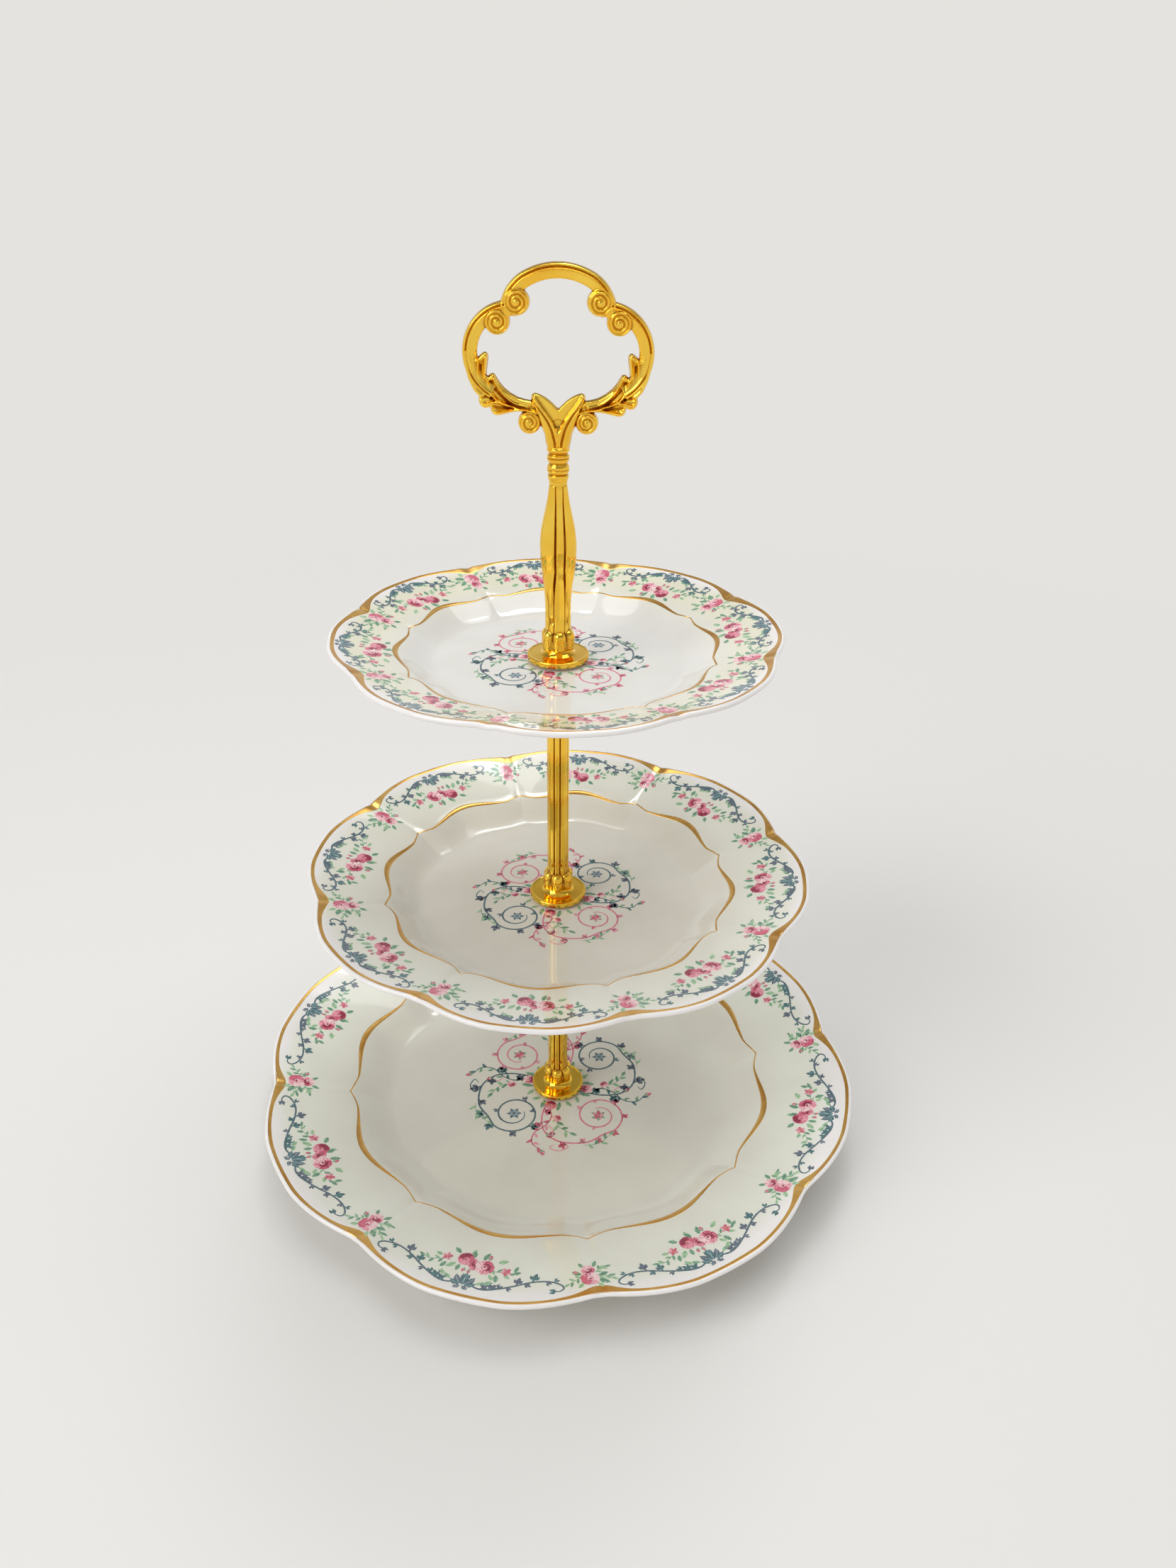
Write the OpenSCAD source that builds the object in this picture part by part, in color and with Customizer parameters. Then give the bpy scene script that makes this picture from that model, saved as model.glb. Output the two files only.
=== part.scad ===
// Three-tier cake stand: three lobed porcelain plates clamped between gilt
// cast rods that screw together, with a scrolled ring handle on top.
// The origin is on the table under the rods' axis, +Z is up, and the ring
// handle's face looks along -Y.

/* [Top plate] */
// Width across opposite lobes
top_plate_d = 161; // [150:1:180]
// Radius of the arc that rounds each lobe
top_lobe_r = 52; // [50:1:60]
// Rise of the rim above the well's floor
top_rim_h = 11.2; // [9.5:0.1:16]
// Radius of the shoulder where the well meets the border
top_shoulder_r = 57; // [54:0.5:62]
// Rise of that shoulder above the well's floor
top_shoulder_h = 6.2; // [4:0.1:8]
// Radius of the flat floor of the well
top_well_r = 44; // [41:0.5:51]
// Outer radius of the foot ring
top_foot_r = 44; // [38:0.5:45]
// Angle from +X to the first notch between lobes
top_turn = 30; // [0:0.5:45]

/* [Middle plate] */
// Width across opposite lobes
middle_plate_d = 196.5; // [185:0.5:215]
// Radius of the arc that rounds each lobe
middle_lobe_r = 63; // [61:1:72]
// Rise of the rim above the well's floor
middle_rim_h = 14.6; // [12.5:0.1:19]
// Radius of the shoulder where the well meets the border
middle_shoulder_r = 68.5; // [66:0.5:74]
// Rise of that shoulder above the well's floor
middle_shoulder_h = 8.4; // [6:0.1:10]
// Radius of the flat floor of the well
middle_well_r = 55; // [52:0.5:62]
// Outer radius of the foot ring
middle_foot_r = 55; // [48:0.5:56]
// Angle from +X to the first notch between lobes
middle_turn = 16; // [0:0.5:45]

/* [Bottom plate] */
// Width across opposite lobes
bottom_plate_d = 252; // [240:1:270]
// Radius of the arc that rounds each lobe
bottom_lobe_r = 81; // [78:1:92]
// Rise of the rim above the well's floor
bottom_rim_h = 16.7; // [14:0.1:22]
// Radius of the shoulder where the well meets the border
bottom_shoulder_r = 90; // [87:0.5:96]
// Rise of that shoulder above the well's floor
bottom_shoulder_h = 8.4; // [6:0.1:11]
// Radius of the flat floor of the well
bottom_well_r = 72; // [69:0.5:83]
// Outer radius of the foot ring
bottom_foot_r = 72; // [64:0.5:75]
// Angle from +X to the first notch between lobes
bottom_turn = 8.5; // [0:0.5:45]

/* [Plate wall] */
// Number of lobes round each plate
lobes = 8; // [6:1:10]
// Thickness of the well's floor
well_t = 3.6; // [3:0.1:5]
// Thickness of the border at its edge
rim_t = 2.0; // [1.8:0.1:3.2]
// Width of the foot ring's face
foot_w = 3.2; // [2.4:0.1:5]
// Height of the bottom plate's foot ring
bottom_foot_h = 4.7; // [4.6:0.1:8]
// Height of the other plates' foot rings
upper_foot_h = 3; // [1.5:0.1:5]
// Diameter of the hole through each plate
plate_hole_d = 8; // [6:0.5:10]

/* [Washers] */
// Diameter of the soft cushion washers
cushion_d = 18; // [14:0.5:21]
// Thickness of the soft cushion washers
cushion_t = 1; // [0.8:0.1:1.5]
// Diameter of the metal support washers
washer_d = 20; // [16:0.5:24]
// Thickness of the metal support washers
washer_t = 1; // [0.8:0.1:1.2]
// Clearance all round the stud in washers
washer_clear = 0.25; // [0.1:0.05:0.5]

/* [Screws] */
// Thread diameter of the studs and the bolt
stud_d = 5; // [4:0.5:6]
// Radial clearance of the thread in its hole
thread_clear = 0.05; // [0.02:0.01:0.1]
// Length of thread that engages in each casting
engage_l = 10; // [8:0.5:14]
// Free depth of each threaded hole past the screw's end
tap_spare = 1; // [0.5:0.1:3]
// Length of each stud inside its own rod
stud_root_l = 14; // [10:0.5:20]
// Diameter of the bottom bolt's head
bolt_head_d = 12; // [9:0.5:15]
// Thickness of the bottom bolt's head
bolt_head_t = 2; // [1.6:0.1:2.4]
// Width of the slot in the bottom bolt's head
slot_w = 1.6; // [1:0.1:2]
// Depth of that slot
slot_depth = 1; // [0.6:0.1:1.2]

/* [Rods] */
// Length of each rod from flange to shoulder
rod_l = 95; // [70:1:140]
// Diameter over the rod's rounded lobes
rod_d = 8.2; // [7.8:0.1:10]
// Radius of each of the rod's four wide lobes
rod_lobe_r = 2.6; // [2.4:0.1:3]
// Radius of each of the four narrow ridges between them
rod_ridge_r = 1.8; // [1.4:0.1:2]
// Diameter of the flange that clamps a plate
flange_d = 22; // [18:0.5:28]
// Thickness of that flange
flange_t = 2; // [1.5:0.1:3]
// Number of petals in the collar above the flange
petals = 6; // [5:1:8]
// Diameter over the petals
collar_d = 11.5; // [11:0.1:14]
// Height of the straight part of a petal
petal_h = 6.4; // [5:0.1:10]
// Radius of each petal
petal_r = 2.75; // [2.5:0.05:3.2]

/* [Handle stem] */
// Diameter of the stem above its collar
stem_foot_d = 8.2; // [7.8:0.1:9]
// Height where the stem starts to swell
stem_swell_h = 18; // [15:0.5:22]
// Diameter of the stem's swelling
swell_d = 12.8; // [10:0.1:15]
// Height of the widest point of the swelling
swell_h = 41.4; // [36:0.1:46]
// Diameter of the neck above the swelling
neck_d = 6; // [5:0.1:7]
// Height of that neck
neck_h = 62.4; // [58:0.1:63]
// Diameter of the beads of the knop
knop_d = 8; // [7:0.1:10]
// Number of beads in the knop
knop_beads = 3; // [2:1:4]
// Height of each bead
bead_h = 3.8; // [3.2:0.1:3.8]

/* [Handle ring] */
// Height of the handle from flange to top
handle_h = 129.5; // [129:0.1:136]
// Thickness of the scrolls, front to back
scroll_t = 5; // [4:0.1:7]
// Thickness of the volutes, front to back
volute_t = 6; // [5:0.1:8]
// Radial width of the scroll bands
band_w = 4.8; // [4:0.1:5.5]
// Outer radius of the top arch's crown
arch_r = 23; // [22:0.1:25]
// Outer radius of the top arch's shoulders
arch_shoulder_r = 14.2; // [13.4:0.1:15]
// Angle from the crown's middle to where a shoulder starts
arch_crown_angle = 28; // [24:0.5:32]
// Outer radius of the side scrolls
side_r = 15.6; // [15:0.1:16.5]
// Distance from the axis to a side scroll's centre
side_x = 14.6; // [14:0.1:16]
// Radius of the volutes
volute_r = 4; // [3.6:0.1:4.4]
// Distance from the axis to the upper volutes
upper_volute_x = 13.1; // [12.5:0.1:13.5]
// Drop of the upper volutes below the ring's top
upper_volute_drop = 11; // [10:0.1:12]
// Distance from the axis to the second volutes
second_volute_x = 19.2; // [18.5:0.1:19.8]
// Drop of the second volutes below the ring's top
second_volute_drop = 17.1; // [16.5:0.1:18]
// Distance from the axis to the lower volutes
lower_volute_x = 9.2; // [8.6:0.1:9.8]
// Drop of the lower volutes below the ring's top
lower_volute_drop = 47.5; // [46.5:0.1:48.5]
// Drop of the side scrolls' centres below the ring's top
side_drop = 26.5; // [25.5:0.1:27.5]
// Drop from the ring's top to the root of the leaves
leaf_span = 60; // [59:0.1:61]

/* [Hidden] */
$fn = 96;

// Each tier stacks cushion, plate, cushion and washer between two castings.
bottom_z = bottom_foot_h;
lower_flange_z = bottom_z + well_t + cushion_t;
middle_z = lower_flange_z + rod_l + washer_t + cushion_t;
upper_flange_z = middle_z + well_t + cushion_t;
top_z = upper_flange_z + rod_l + washer_t + cushion_t;
handle_z = top_z + well_t + cushion_t;
stack_t = washer_t + cushion_t + well_t + cushion_t;
tap_depth = engage_l + tap_spare;
curve_steps = 8;
// The rim's section reaches just past the lobes, which cut it all round.
rim_over = 0.05;
front = -90;

gilt = "goldenrod";
porcelain = "ivory";
steel = "silver";
soft = "gainsboro";

// Points of a smooth step from [r0, z0] to [r1, z1].
function step_curve(r0, z0, r1, z1) = [
    for (i = [0 : curve_steps])
        let (t = i / curve_steps)
        [r0 + (r1 - r0) * t, z0 + (z1 - z0) * (1 - cos(180 * t)) / 2]
];

// Outline seen from above: a circle of lobes, each an arc of lobe_r.
module lobed_outline(plate_d, lobe_r, turn) {
    for (i = [0 : lobes - 1])
        rotate(turn + (i + 0.5) * 360 / lobes)
            translate([plate_d / 2 - lobe_r, 0])
                circle(r = lobe_r);
    circle(r = plate_d / 2 - lobe_r);
}

// Half section of a plate, with the underside of its floor at height 0.
module plate_section(rim_r, rim_h, shoulder_r, shoulder_h, well_r) {
    rim_z = well_t + rim_h;
    shoulder_z = well_t + shoulder_h;
    polygon(concat(
        [[0, 0], [0, well_t]],
        step_curve(well_r, well_t, shoulder_r, shoulder_z),
        [[rim_r - rim_t / 2, rim_z], [rim_r - rim_t / 2, rim_z - rim_t]],
        [for (p = step_curve(shoulder_r + rim_t, shoulder_z - rim_t, well_r + rim_t, 0)) p]
    ));
    translate([rim_r - rim_t / 2, rim_z - rim_t / 2])
        circle(d = rim_t, $fn = 32);
}

// One plate, with its clamp hole and foot ring.
module plate(z, plate_d, lobe_r, rim_h, shoulder_r, shoulder_h, well_r, foot_r, foot_h, turn) {
    translate([0, 0, z])
        difference() {
            union() {
                intersection() {
                    rotate_extrude($fn = 180)
                        plate_section(plate_d / 2 + rim_over, rim_h, shoulder_r, shoulder_h, well_r);
                    linear_extrude(well_t + rim_h + 1)
                        lobed_outline(plate_d, lobe_r, turn, $fn = 180);
                }
                translate([0, 0, -foot_h])
                    difference() {
                        cylinder(h = foot_h + well_t / 2, r = foot_r);
                        translate([0, 0, -1])
                            cylinder(h = foot_h + well_t, r = foot_r - foot_w);
                    }
            }
            translate([0, 0, -1])
                cylinder(h = well_t + 2, d = plate_hole_d);
        }
}

// A flat washer from height z.
module washer(z, outer_d, inner_d, thickness) {
    translate([0, 0, z])
        difference() {
            cylinder(h = thickness, d = outer_d);
            translate([0, 0, -1])
                cylinder(h = thickness + 2, d = inner_d);
        }
}

module cushion_washer(z) {
    washer(z, cushion_d, stud_d + 2 * washer_clear, cushion_t);
}

module support_washer(z) {
    washer(z, washer_d, stud_d + 2 * washer_clear, washer_t);
}

// Blind threaded hole that opens downwards at height 0.
module tapped_hole(depth) {
    translate([0, 0, -1])
        cylinder(h = depth + 1, r = stud_d / 2 + thread_clear);
}

// Flange and petal collar at the foot of a rod or of the handle.
module flange_collar() {
    cylinder(h = flange_t, d = flange_d);
    linear_extrude(flange_t + petal_h)
        for (i = [0 : petals - 1])
            rotate(front + i * 360 / petals)
                translate([collar_d / 2 - petal_r, 0])
                    circle(r = petal_r, $fn = 32);
    for (i = [0 : petals - 1])
        rotate(front + i * 360 / petals)
            translate([collar_d / 2 - petal_r, 0, flange_t + petal_h])
                sphere(r = petal_r, $fn = 32);
}

// Section of a rod: four wide lobes with a narrow ridge between each pair,
// and a ridge to the front.
module rod_section() {
    for (i = [0 : 3]) {
        rotate(front + i * 90)
            translate([rod_d / 2 - rod_ridge_r, 0])
                circle(r = rod_ridge_r);
        rotate(front + 45 + i * 90)
            translate([rod_d / 2 - rod_lobe_r, 0])
                circle(r = rod_lobe_r);
    }
    circle(d = 2 * rod_ridge_r + rod_lobe_r);
}

// A cast rod, tapped at the foot and bored for its stud at the top.
module rod(z) {
    translate([0, 0, z])
        difference() {
            union() {
                flange_collar();
                linear_extrude(rod_l)
                    rod_section();
            }
            tapped_hole(tap_depth);
            translate([0, 0, rod_l - stud_root_l])
                cylinder(h = stud_root_l + 1, r = stud_d / 2 + thread_clear);
        }
}

// A threaded stud in the top of the rod whose flange is at height z.
module stud(z) {
    translate([0, 0, z + rod_l - stud_root_l])
        cylinder(h = stud_root_l + stack_t + engage_l, d = stud_d);
}

// Part of a flat band between two angles, centred on the origin.
module arc_band(outer_r, width, from_angle, to_angle) {
    reach = 2 * outer_r;
    mid_angle = (from_angle + to_angle) / 2;
    intersection() {
        difference() {
            circle(r = outer_r);
            circle(r = outer_r - width);
        }
        polygon([
            [0, 0],
            reach * [cos(from_angle), sin(from_angle)],
            reach * [cos(mid_angle), sin(mid_angle)],
            reach * [cos(to_angle), sin(to_angle)]
        ]);
    }
}

// Heights in the ring are counted down from its top.
function down(drop) = handle_h - drop;

arch_centre = [0, down(arch_r)];
arch_shoulder = arch_centre + (arch_r - arch_shoulder_r) * [sin(arch_crown_angle), cos(arch_crown_angle)];
side_centre = [side_x, down(side_drop)];
upper_volute = [upper_volute_x, down(upper_volute_drop)];
second_volute = [second_volute_x, down(second_volute_drop)];
lower_volute = [lower_volute_x, down(lower_volute_drop)];
leaf_units = 60;
leaf_unit = leaf_span / leaf_units;
stem_top = down(leaf_span);

// Right half of the acanthus leaf that carries the ring, with each point given
// by its distance from the axis and its drop from the ring's top, in 60ths of
// the leaves' span.
module leaf_half() {
    points = [
        [0, leaf_units], [4, leaf_units], [4.2, 52], [5.6, 47], [8, 44.8], [12, 44.5],
        [16, 44.8], [21, 45.2], [21.5, 43], [24.6, 42], [24.8, 39.8], [26.4, 37], [28, 33],
        [27, 26], [22.6, 26.4], [22.8, 32], [20.2, 32.7], [18, 35.2], [15, 38.4], [12, 40.1],
        [9.6, 41], [8.4, 39.1], [6, 39.4], [3, 41.2], [0, 43.2]
    ];
    polygon([for (p = points) [leaf_unit * p[0], down(leaf_unit * p[1])]]);
}

// Face of the ring: arch, side scrolls and leaves.
module ring_outline() {
    translate(arch_centre)
        arc_band(arch_r, band_w, 89 - arch_crown_angle, 91 + arch_crown_angle);
    for (side = [0, 1])
        mirror([side, 0]) {
            translate(arch_shoulder)
                arc_band(arch_shoulder_r, band_w, 12, 90 - arch_crown_angle);
            translate(side_centre)
                arc_band(side_r, band_w, -48, 68);
            leaf_half();
        }
}

// Faces of the six volutes.
module volute_outline() {
    for (side = [0, 1], centre = [upper_volute, second_volute, lower_volute])
        mirror([side, 0])
            translate(centre)
                circle(r = volute_r);
    for (side = [0, 1])
        mirror([side, 0])
            translate((upper_volute + second_volute) / 2)
                circle(r = volute_r / 2);
}

// Where the knop ends and the leaves' root takes over from the stem.
knop_top = neck_h + knop_beads * bead_h;
root_overlap = 6 * leaf_unit;

// The ring stands upright in the XZ plane.
module upright(thickness) {
    rotate([90, 0, 0])
        linear_extrude(thickness, center = true)
            children();
}

// Turned stem from the collar to the knop.
module stem() {
    rotate_extrude()
        polygon(concat(
            [[0, 0], [stem_foot_d / 2, 0]],
            [for (p = step_curve(stem_foot_d / 2, stem_swell_h, swell_d / 2, swell_h)) p],
            [for (p = step_curve(swell_d / 2, swell_h, neck_d / 2, neck_h)) p],
            [[neck_d / 2, knop_top], [neck_d / 2, stem_top + root_overlap], [0, stem_top + root_overlap]]
        ));
    for (i = [0 : knop_beads - 1])
        translate([0, 0, neck_h + (i + 0.5) * bead_h])
            rotate_extrude()
                translate([knop_d / 2 - bead_h / 2, 0])
                    circle(d = bead_h, $fn = 32);
    translate([0, 0, neck_h])
        cylinder(h = knop_beads * bead_h, r = knop_d / 2 - bead_h / 4);
}

module handle() {
    color(gilt)
        translate([0, 0, handle_z])
            difference() {
                union() {
                    flange_collar();
                    stem();
                    upright(scroll_t)
                        ring_outline();
                    upright(volute_t)
                        volute_outline();
                }
                tapped_hole(tap_depth);
            }
}

module top_cushion_washer() {
    color(soft)
        cushion_washer(handle_z - cushion_t);
}

module top_plate() {
    color(porcelain)
        plate(top_z, top_plate_d, top_lobe_r, top_rim_h, top_shoulder_r,
              top_shoulder_h, top_well_r, top_foot_r, upper_foot_h, top_turn);
}

module top_lower_cushion() {
    color(soft)
        cushion_washer(top_z - cushion_t);
}

module top_support_washer() {
    color(gilt)
        support_washer(top_z - cushion_t - washer_t);
}

module upper_stud() {
    color(steel)
        stud(upper_flange_z);
}

module upper_rod() {
    color(gilt)
        rod(upper_flange_z);
}

module middle_cushion_washer() {
    color(soft)
        cushion_washer(upper_flange_z - cushion_t);
}

module middle_plate() {
    color(porcelain)
        plate(middle_z, middle_plate_d, middle_lobe_r, middle_rim_h, middle_shoulder_r,
              middle_shoulder_h, middle_well_r, middle_foot_r, upper_foot_h, middle_turn);
}

module middle_lower_cushion() {
    color(soft)
        cushion_washer(middle_z - cushion_t);
}

module middle_support_washer() {
    color(gilt)
        support_washer(middle_z - cushion_t - washer_t);
}

module lower_stud() {
    color(steel)
        stud(lower_flange_z);
}

module lower_rod() {
    color(gilt)
        rod(lower_flange_z);
}

module bottom_cushion_washer() {
    color(soft)
        cushion_washer(lower_flange_z - cushion_t);
}

module bottom_plate() {
    color(porcelain)
        plate(bottom_z, bottom_plate_d, bottom_lobe_r, bottom_rim_h, bottom_shoulder_r,
              bottom_shoulder_h, bottom_well_r, bottom_foot_r, bottom_foot_h, bottom_turn);
}

module bottom_lower_cushion() {
    color(soft)
        cushion_washer(bottom_z - cushion_t);
}

module bottom_support_washer() {
    color(gilt)
        support_washer(bottom_z - cushion_t - washer_t);
}

// The slotted bolt clamps the bottom plate from below.
module bottom_bolt() {
    color(steel)
        translate([0, 0, bottom_z - cushion_t - washer_t - bolt_head_t])
            difference() {
                union() {
                    cylinder(h = bolt_head_t, d = bolt_head_d);
                    cylinder(h = bolt_head_t + stack_t + engage_l, d = stud_d);
                }
                translate([-bolt_head_d, -slot_w / 2, -1])
                    cube([2 * bolt_head_d, slot_w, 1 + slot_depth]);
            }
}

handle();
top_cushion_washer();
top_plate();
top_lower_cushion();
top_support_washer();
upper_stud();
upper_rod();
middle_cushion_washer();
middle_plate();
middle_lower_cushion();
middle_support_washer();
lower_stud();
lower_rod();
bottom_cushion_washer();
bottom_plate();
bottom_lower_cushion();
bottom_support_washer();
bottom_bolt();
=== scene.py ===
import math
import random
from math import cos, pi, radians, sin

import bpy
import numpy as np
from mathutils import Matrix, Vector


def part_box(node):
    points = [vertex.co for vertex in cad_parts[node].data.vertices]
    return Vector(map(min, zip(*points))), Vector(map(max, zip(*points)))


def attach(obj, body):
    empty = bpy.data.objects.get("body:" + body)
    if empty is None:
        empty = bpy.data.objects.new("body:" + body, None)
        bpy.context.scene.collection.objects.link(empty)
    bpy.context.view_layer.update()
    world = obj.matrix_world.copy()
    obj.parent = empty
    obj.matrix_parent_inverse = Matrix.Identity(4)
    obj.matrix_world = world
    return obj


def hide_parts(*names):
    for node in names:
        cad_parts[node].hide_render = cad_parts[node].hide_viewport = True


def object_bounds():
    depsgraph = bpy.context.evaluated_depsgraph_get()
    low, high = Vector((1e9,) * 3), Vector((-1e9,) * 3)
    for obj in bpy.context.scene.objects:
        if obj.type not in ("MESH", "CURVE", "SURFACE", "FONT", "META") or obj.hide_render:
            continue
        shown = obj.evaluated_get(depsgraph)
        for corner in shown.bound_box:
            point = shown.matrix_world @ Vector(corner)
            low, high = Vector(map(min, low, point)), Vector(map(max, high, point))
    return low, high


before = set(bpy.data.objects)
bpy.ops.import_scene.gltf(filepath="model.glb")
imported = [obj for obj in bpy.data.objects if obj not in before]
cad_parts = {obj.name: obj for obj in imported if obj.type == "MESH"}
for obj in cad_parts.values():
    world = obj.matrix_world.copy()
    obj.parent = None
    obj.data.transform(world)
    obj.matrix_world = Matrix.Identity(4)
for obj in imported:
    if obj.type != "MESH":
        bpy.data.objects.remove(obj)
cad_lo, cad_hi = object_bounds()
scene = bpy.context.scene
MM = 0.001
TAU = 2 * pi


# ---------------------------------------------------------------- mesh helpers
def placed(name, data):
    """A new object, linked to the scene."""
    item = bpy.data.objects.new(name, data)
    scene.collection.objects.link(item)
    return item


def to_object(name, verts, faces, materials, body, indices=None, sharp=None, painted_recess_shade=None):
    """Makes a mesh object from points in millimetres, and lets it ride on a body."""
    mesh = bpy.data.meshes.new(name)
    mesh.from_pydata((np.asarray(verts, float) * MM).tolist(), [], faces)
    for material in materials:
        mesh.materials.append(material)
    if indices is not None:
        mesh.polygons.foreach_set("material_index", indices)
    mesh.polygons.foreach_set("use_smooth", [True] * len(mesh.polygons))
    if sharp is not None:
        mesh.set_sharp_from_angle(angle=radians(sharp))
    if painted_recess_shade is not None:
        # A per-point amount of painted shade, read by the gilt's material to darken recesses.
        mesh.attributes.new("painted_recess_shade", "FLOAT", "POINT").data.foreach_set("value", painted_recess_shade.astype(np.float32))
    mesh.update()
    piece = placed(name, mesh)
    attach(piece, body)
    return piece


def grid_faces(rows, cols, loop_rows=False):
    """Quads over a grid whose columns close on themselves, and whose rows may too."""
    i = np.arange(rows if loop_rows else rows - 1)[:, None]
    j = np.arange(cols)[None, :]
    row, next_row, next_j = i * cols, (i + 1) % rows * cols, (j + 1) % cols
    return np.stack([row + j, row + next_j, next_row + next_j, next_row + j], -1).reshape(-1, 4).tolist()


def around(count):
    """Angles evenly spaced round a circle."""
    return np.arange(count) / count * TAU


def lathe(rows, angles, z=0.0, loop=False):
    """Points and faces of a turned form, from rows of radius and height: one number, or one for each angle."""
    radius, height = (np.array([row[k] + 0 * angles for row in rows]) for k in (0, 1))
    verts = np.stack([radius * np.cos(angles), radius * np.sin(angles), height + z], -1).reshape(-1, 3)
    faces = grid_faces(*radius.shape, loop)
    if loop:
        return verts, [f[::-1] for f in faces]
    count = len(angles)
    return verts, faces + [list(range(count))[::-1], list(range(len(verts) - count, len(verts)))]


def smooth(x):
    x = np.clip(x, 0, 1)
    return x * x * (3 - 2 * x)


def bump(x, width):
    return np.exp(-((x / width) ** 2))


def wrapped(angle, period):
    """Angle brought to between minus and plus half a period."""
    return (angle + period / 2) % period - period / 2


# ------------------------------------------------------------------- materials
def srgb(r, g, b):
    """An sRGB colour, out of 255, as linear red, green, blue and alpha."""
    shares = (r / 255, g / 255, b / 255)
    return (*(v / 12.92 if v <= 0.04045 else ((v + 0.055) / 1.055) ** 2.4 for v in shares), 1)


def new_material(name):
    material = bpy.data.materials.new(name)
    material.use_nodes = True
    return material, material.node_tree, material.node_tree.nodes["Principled BSDF"]


def fill(node, inputs):
    """Sets a node's inputs, or links them where the value is another node's output."""
    for name, value in inputs.items():
        if isinstance(value, bpy.types.NodeSocket):
            node.id_data.links.new(value, node.inputs[name])
        else:
            node.inputs[name].default_value = value


def add_node(tree, kind, inputs, **settings):
    node = tree.nodes.new("ShaderNode" + kind)
    for name, value in settings.items():
        setattr(node, name, value)
    fill(node, inputs)
    return node


def noise(tree, scale, detail=2.0):
    """A noise pattern fixed to the object; the scale is in features per metre."""
    coords = add_node(tree, "TexCoord", {}).outputs["Object"]
    return add_node(tree, "TexNoise", {"Scale": scale, "Detail": detail, "Vector": coords}).outputs["Fac"]


def ramp(tree, value, stops):
    node = add_node(tree, "ValToRGB", {"Fac": value})
    marks = node.color_ramp.elements
    while len(marks) < len(stops):
        marks.new(0.5)
    for mark, (place, colour) in zip(marks, stops):
        mark.position = place
        mark.color = (*colour[:3], 1)
    return node.outputs["Color"]


def spread(tree, value, low, high, start=0.3, stop=0.7):
    """Maps one range to another; noise lies mostly between 0.3 and 0.7."""
    return add_node(tree, "MapRange", {"From Min": start, "From Max": stop, "To Min": low, "To Max": high,
                                       "Value": value}).outputs["Result"]


def relief(tree, scale, detail, depth):
    """A normal that follows noise of a depth in millimetres."""
    height = noise(tree, scale, detail)
    return add_node(tree, "Bump", {"Distance": depth * MM, "Height": height}).outputs["Normal"]


def mixed(tree, share, a, b, blend="MIX"):
    return add_node(tree, "Mix", {"Factor": share, "A": a, "B": b}, data_type="RGBA",
                    blend_type=blend).outputs["Result"]


def mottled(name, dark, light, scale, roughness, metallic=0.0, grain=None, coat=0.0, painted_recess_shade=None):
    """A material whose colour and gloss drift between two values, with painted shade, a darker colour, in
    recesses.

    grain is the scale and the depth of its fine relief.
    """
    material, tree, shader = new_material(name)
    colour = ramp(tree, noise(tree, scale, 3.0), [(0.32, dark), (0.68, light)])
    # Painted shade: the darker colour is mixed in as far as each point's recess attribute goes. It stands in
    # for shade and dark reflections in the casting's hollows.
    if painted_recess_shade:
        deep = add_node(tree, "Attribute", {}, attribute_name="painted_recess_shade").outputs["Fac"]
        colour = mixed(tree, deep, colour, painted_recess_shade)
    gloss = spread(tree, noise(tree, scale * 2.3), roughness - 0.04, roughness + 0.04)
    fill(shader, {"Base Color": colour, "Roughness": gloss, "Metallic": metallic, "Coat Weight": coat})
    if grain:
        scale, depth = grain
        fill(shader, {"Normal": relief(tree, scale, 1.5, depth)})
    return material


EDGE_COLOUR = srgb(241, 238, 236)


def porcelain(name, well, band, radius, well_radius):
    """White glaze, tinted from the well to the printed band and the rim."""
    material, tree, shader = new_material(name)
    coords = add_node(tree, "TexCoord", {}).outputs["Object"]
    unit = 1 / (radius * MM)
    flat = add_node(tree, "VectorMath", {0: coords, 1: (unit, unit, 0)}, operation="MULTIPLY")
    away = add_node(tree, "VectorMath", {0: flat.outputs[0]}, operation="LENGTH")
    wander = add_node(tree, "Math", {0: noise(tree, 14), 1: 0.08, 2: away.outputs["Value"]},
                      operation="MULTIPLY_ADD")
    share = well_radius / radius
    tint = ramp(tree, wander.outputs[0], [
        (0.0, well), (share - 0.02, well), (share + 0.12, band), (0.95, band), (1.0, EDGE_COLOUR)])
    cloud = ramp(tree, noise(tree, 45, 3.0), [(0.35, (0.955, 0.95, 0.94)), (0.65, (1, 1, 1))])
    colour = mixed(tree, 1.0, tint, cloud, "MULTIPLY")
    fill(shader, {"Base Color": colour, "Roughness": spread(tree, noise(tree, 30), 0.05, 0.11),
                  "Coat Weight": 0.4, "Coat Roughness": 0.03, "Normal": relief(tree, 70, 1.0, 0.05)})
    return material


# Polished gilt. Its darker brown-gold, srgb(150, 88, 24), is painted shade in the castings' recesses.
gilt = mottled("polished_gilt", srgb(250, 194, 62), srgb(255, 213, 84), 60, 0.08, metallic=1.0,
               grain=(220, 0.004), painted_recess_shade=srgb(150, 88, 24))
gold_print = mottled("burnished_gilding", srgb(200, 146, 66), srgb(232, 186, 104), 60, 0.24, metallic=0.85,
                     grain=(300, 0.008))
steel = mottled("zinc_plated_steel", srgb(176, 178, 180), srgb(208, 208, 204), 200, 0.28, metallic=1.0,
                grain=(1500, 0.006))
rubber = mottled("soft_washer", srgb(196, 194, 188), srgb(214, 212, 206), 300, 0.62, grain=(1400, 0.02))

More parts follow.
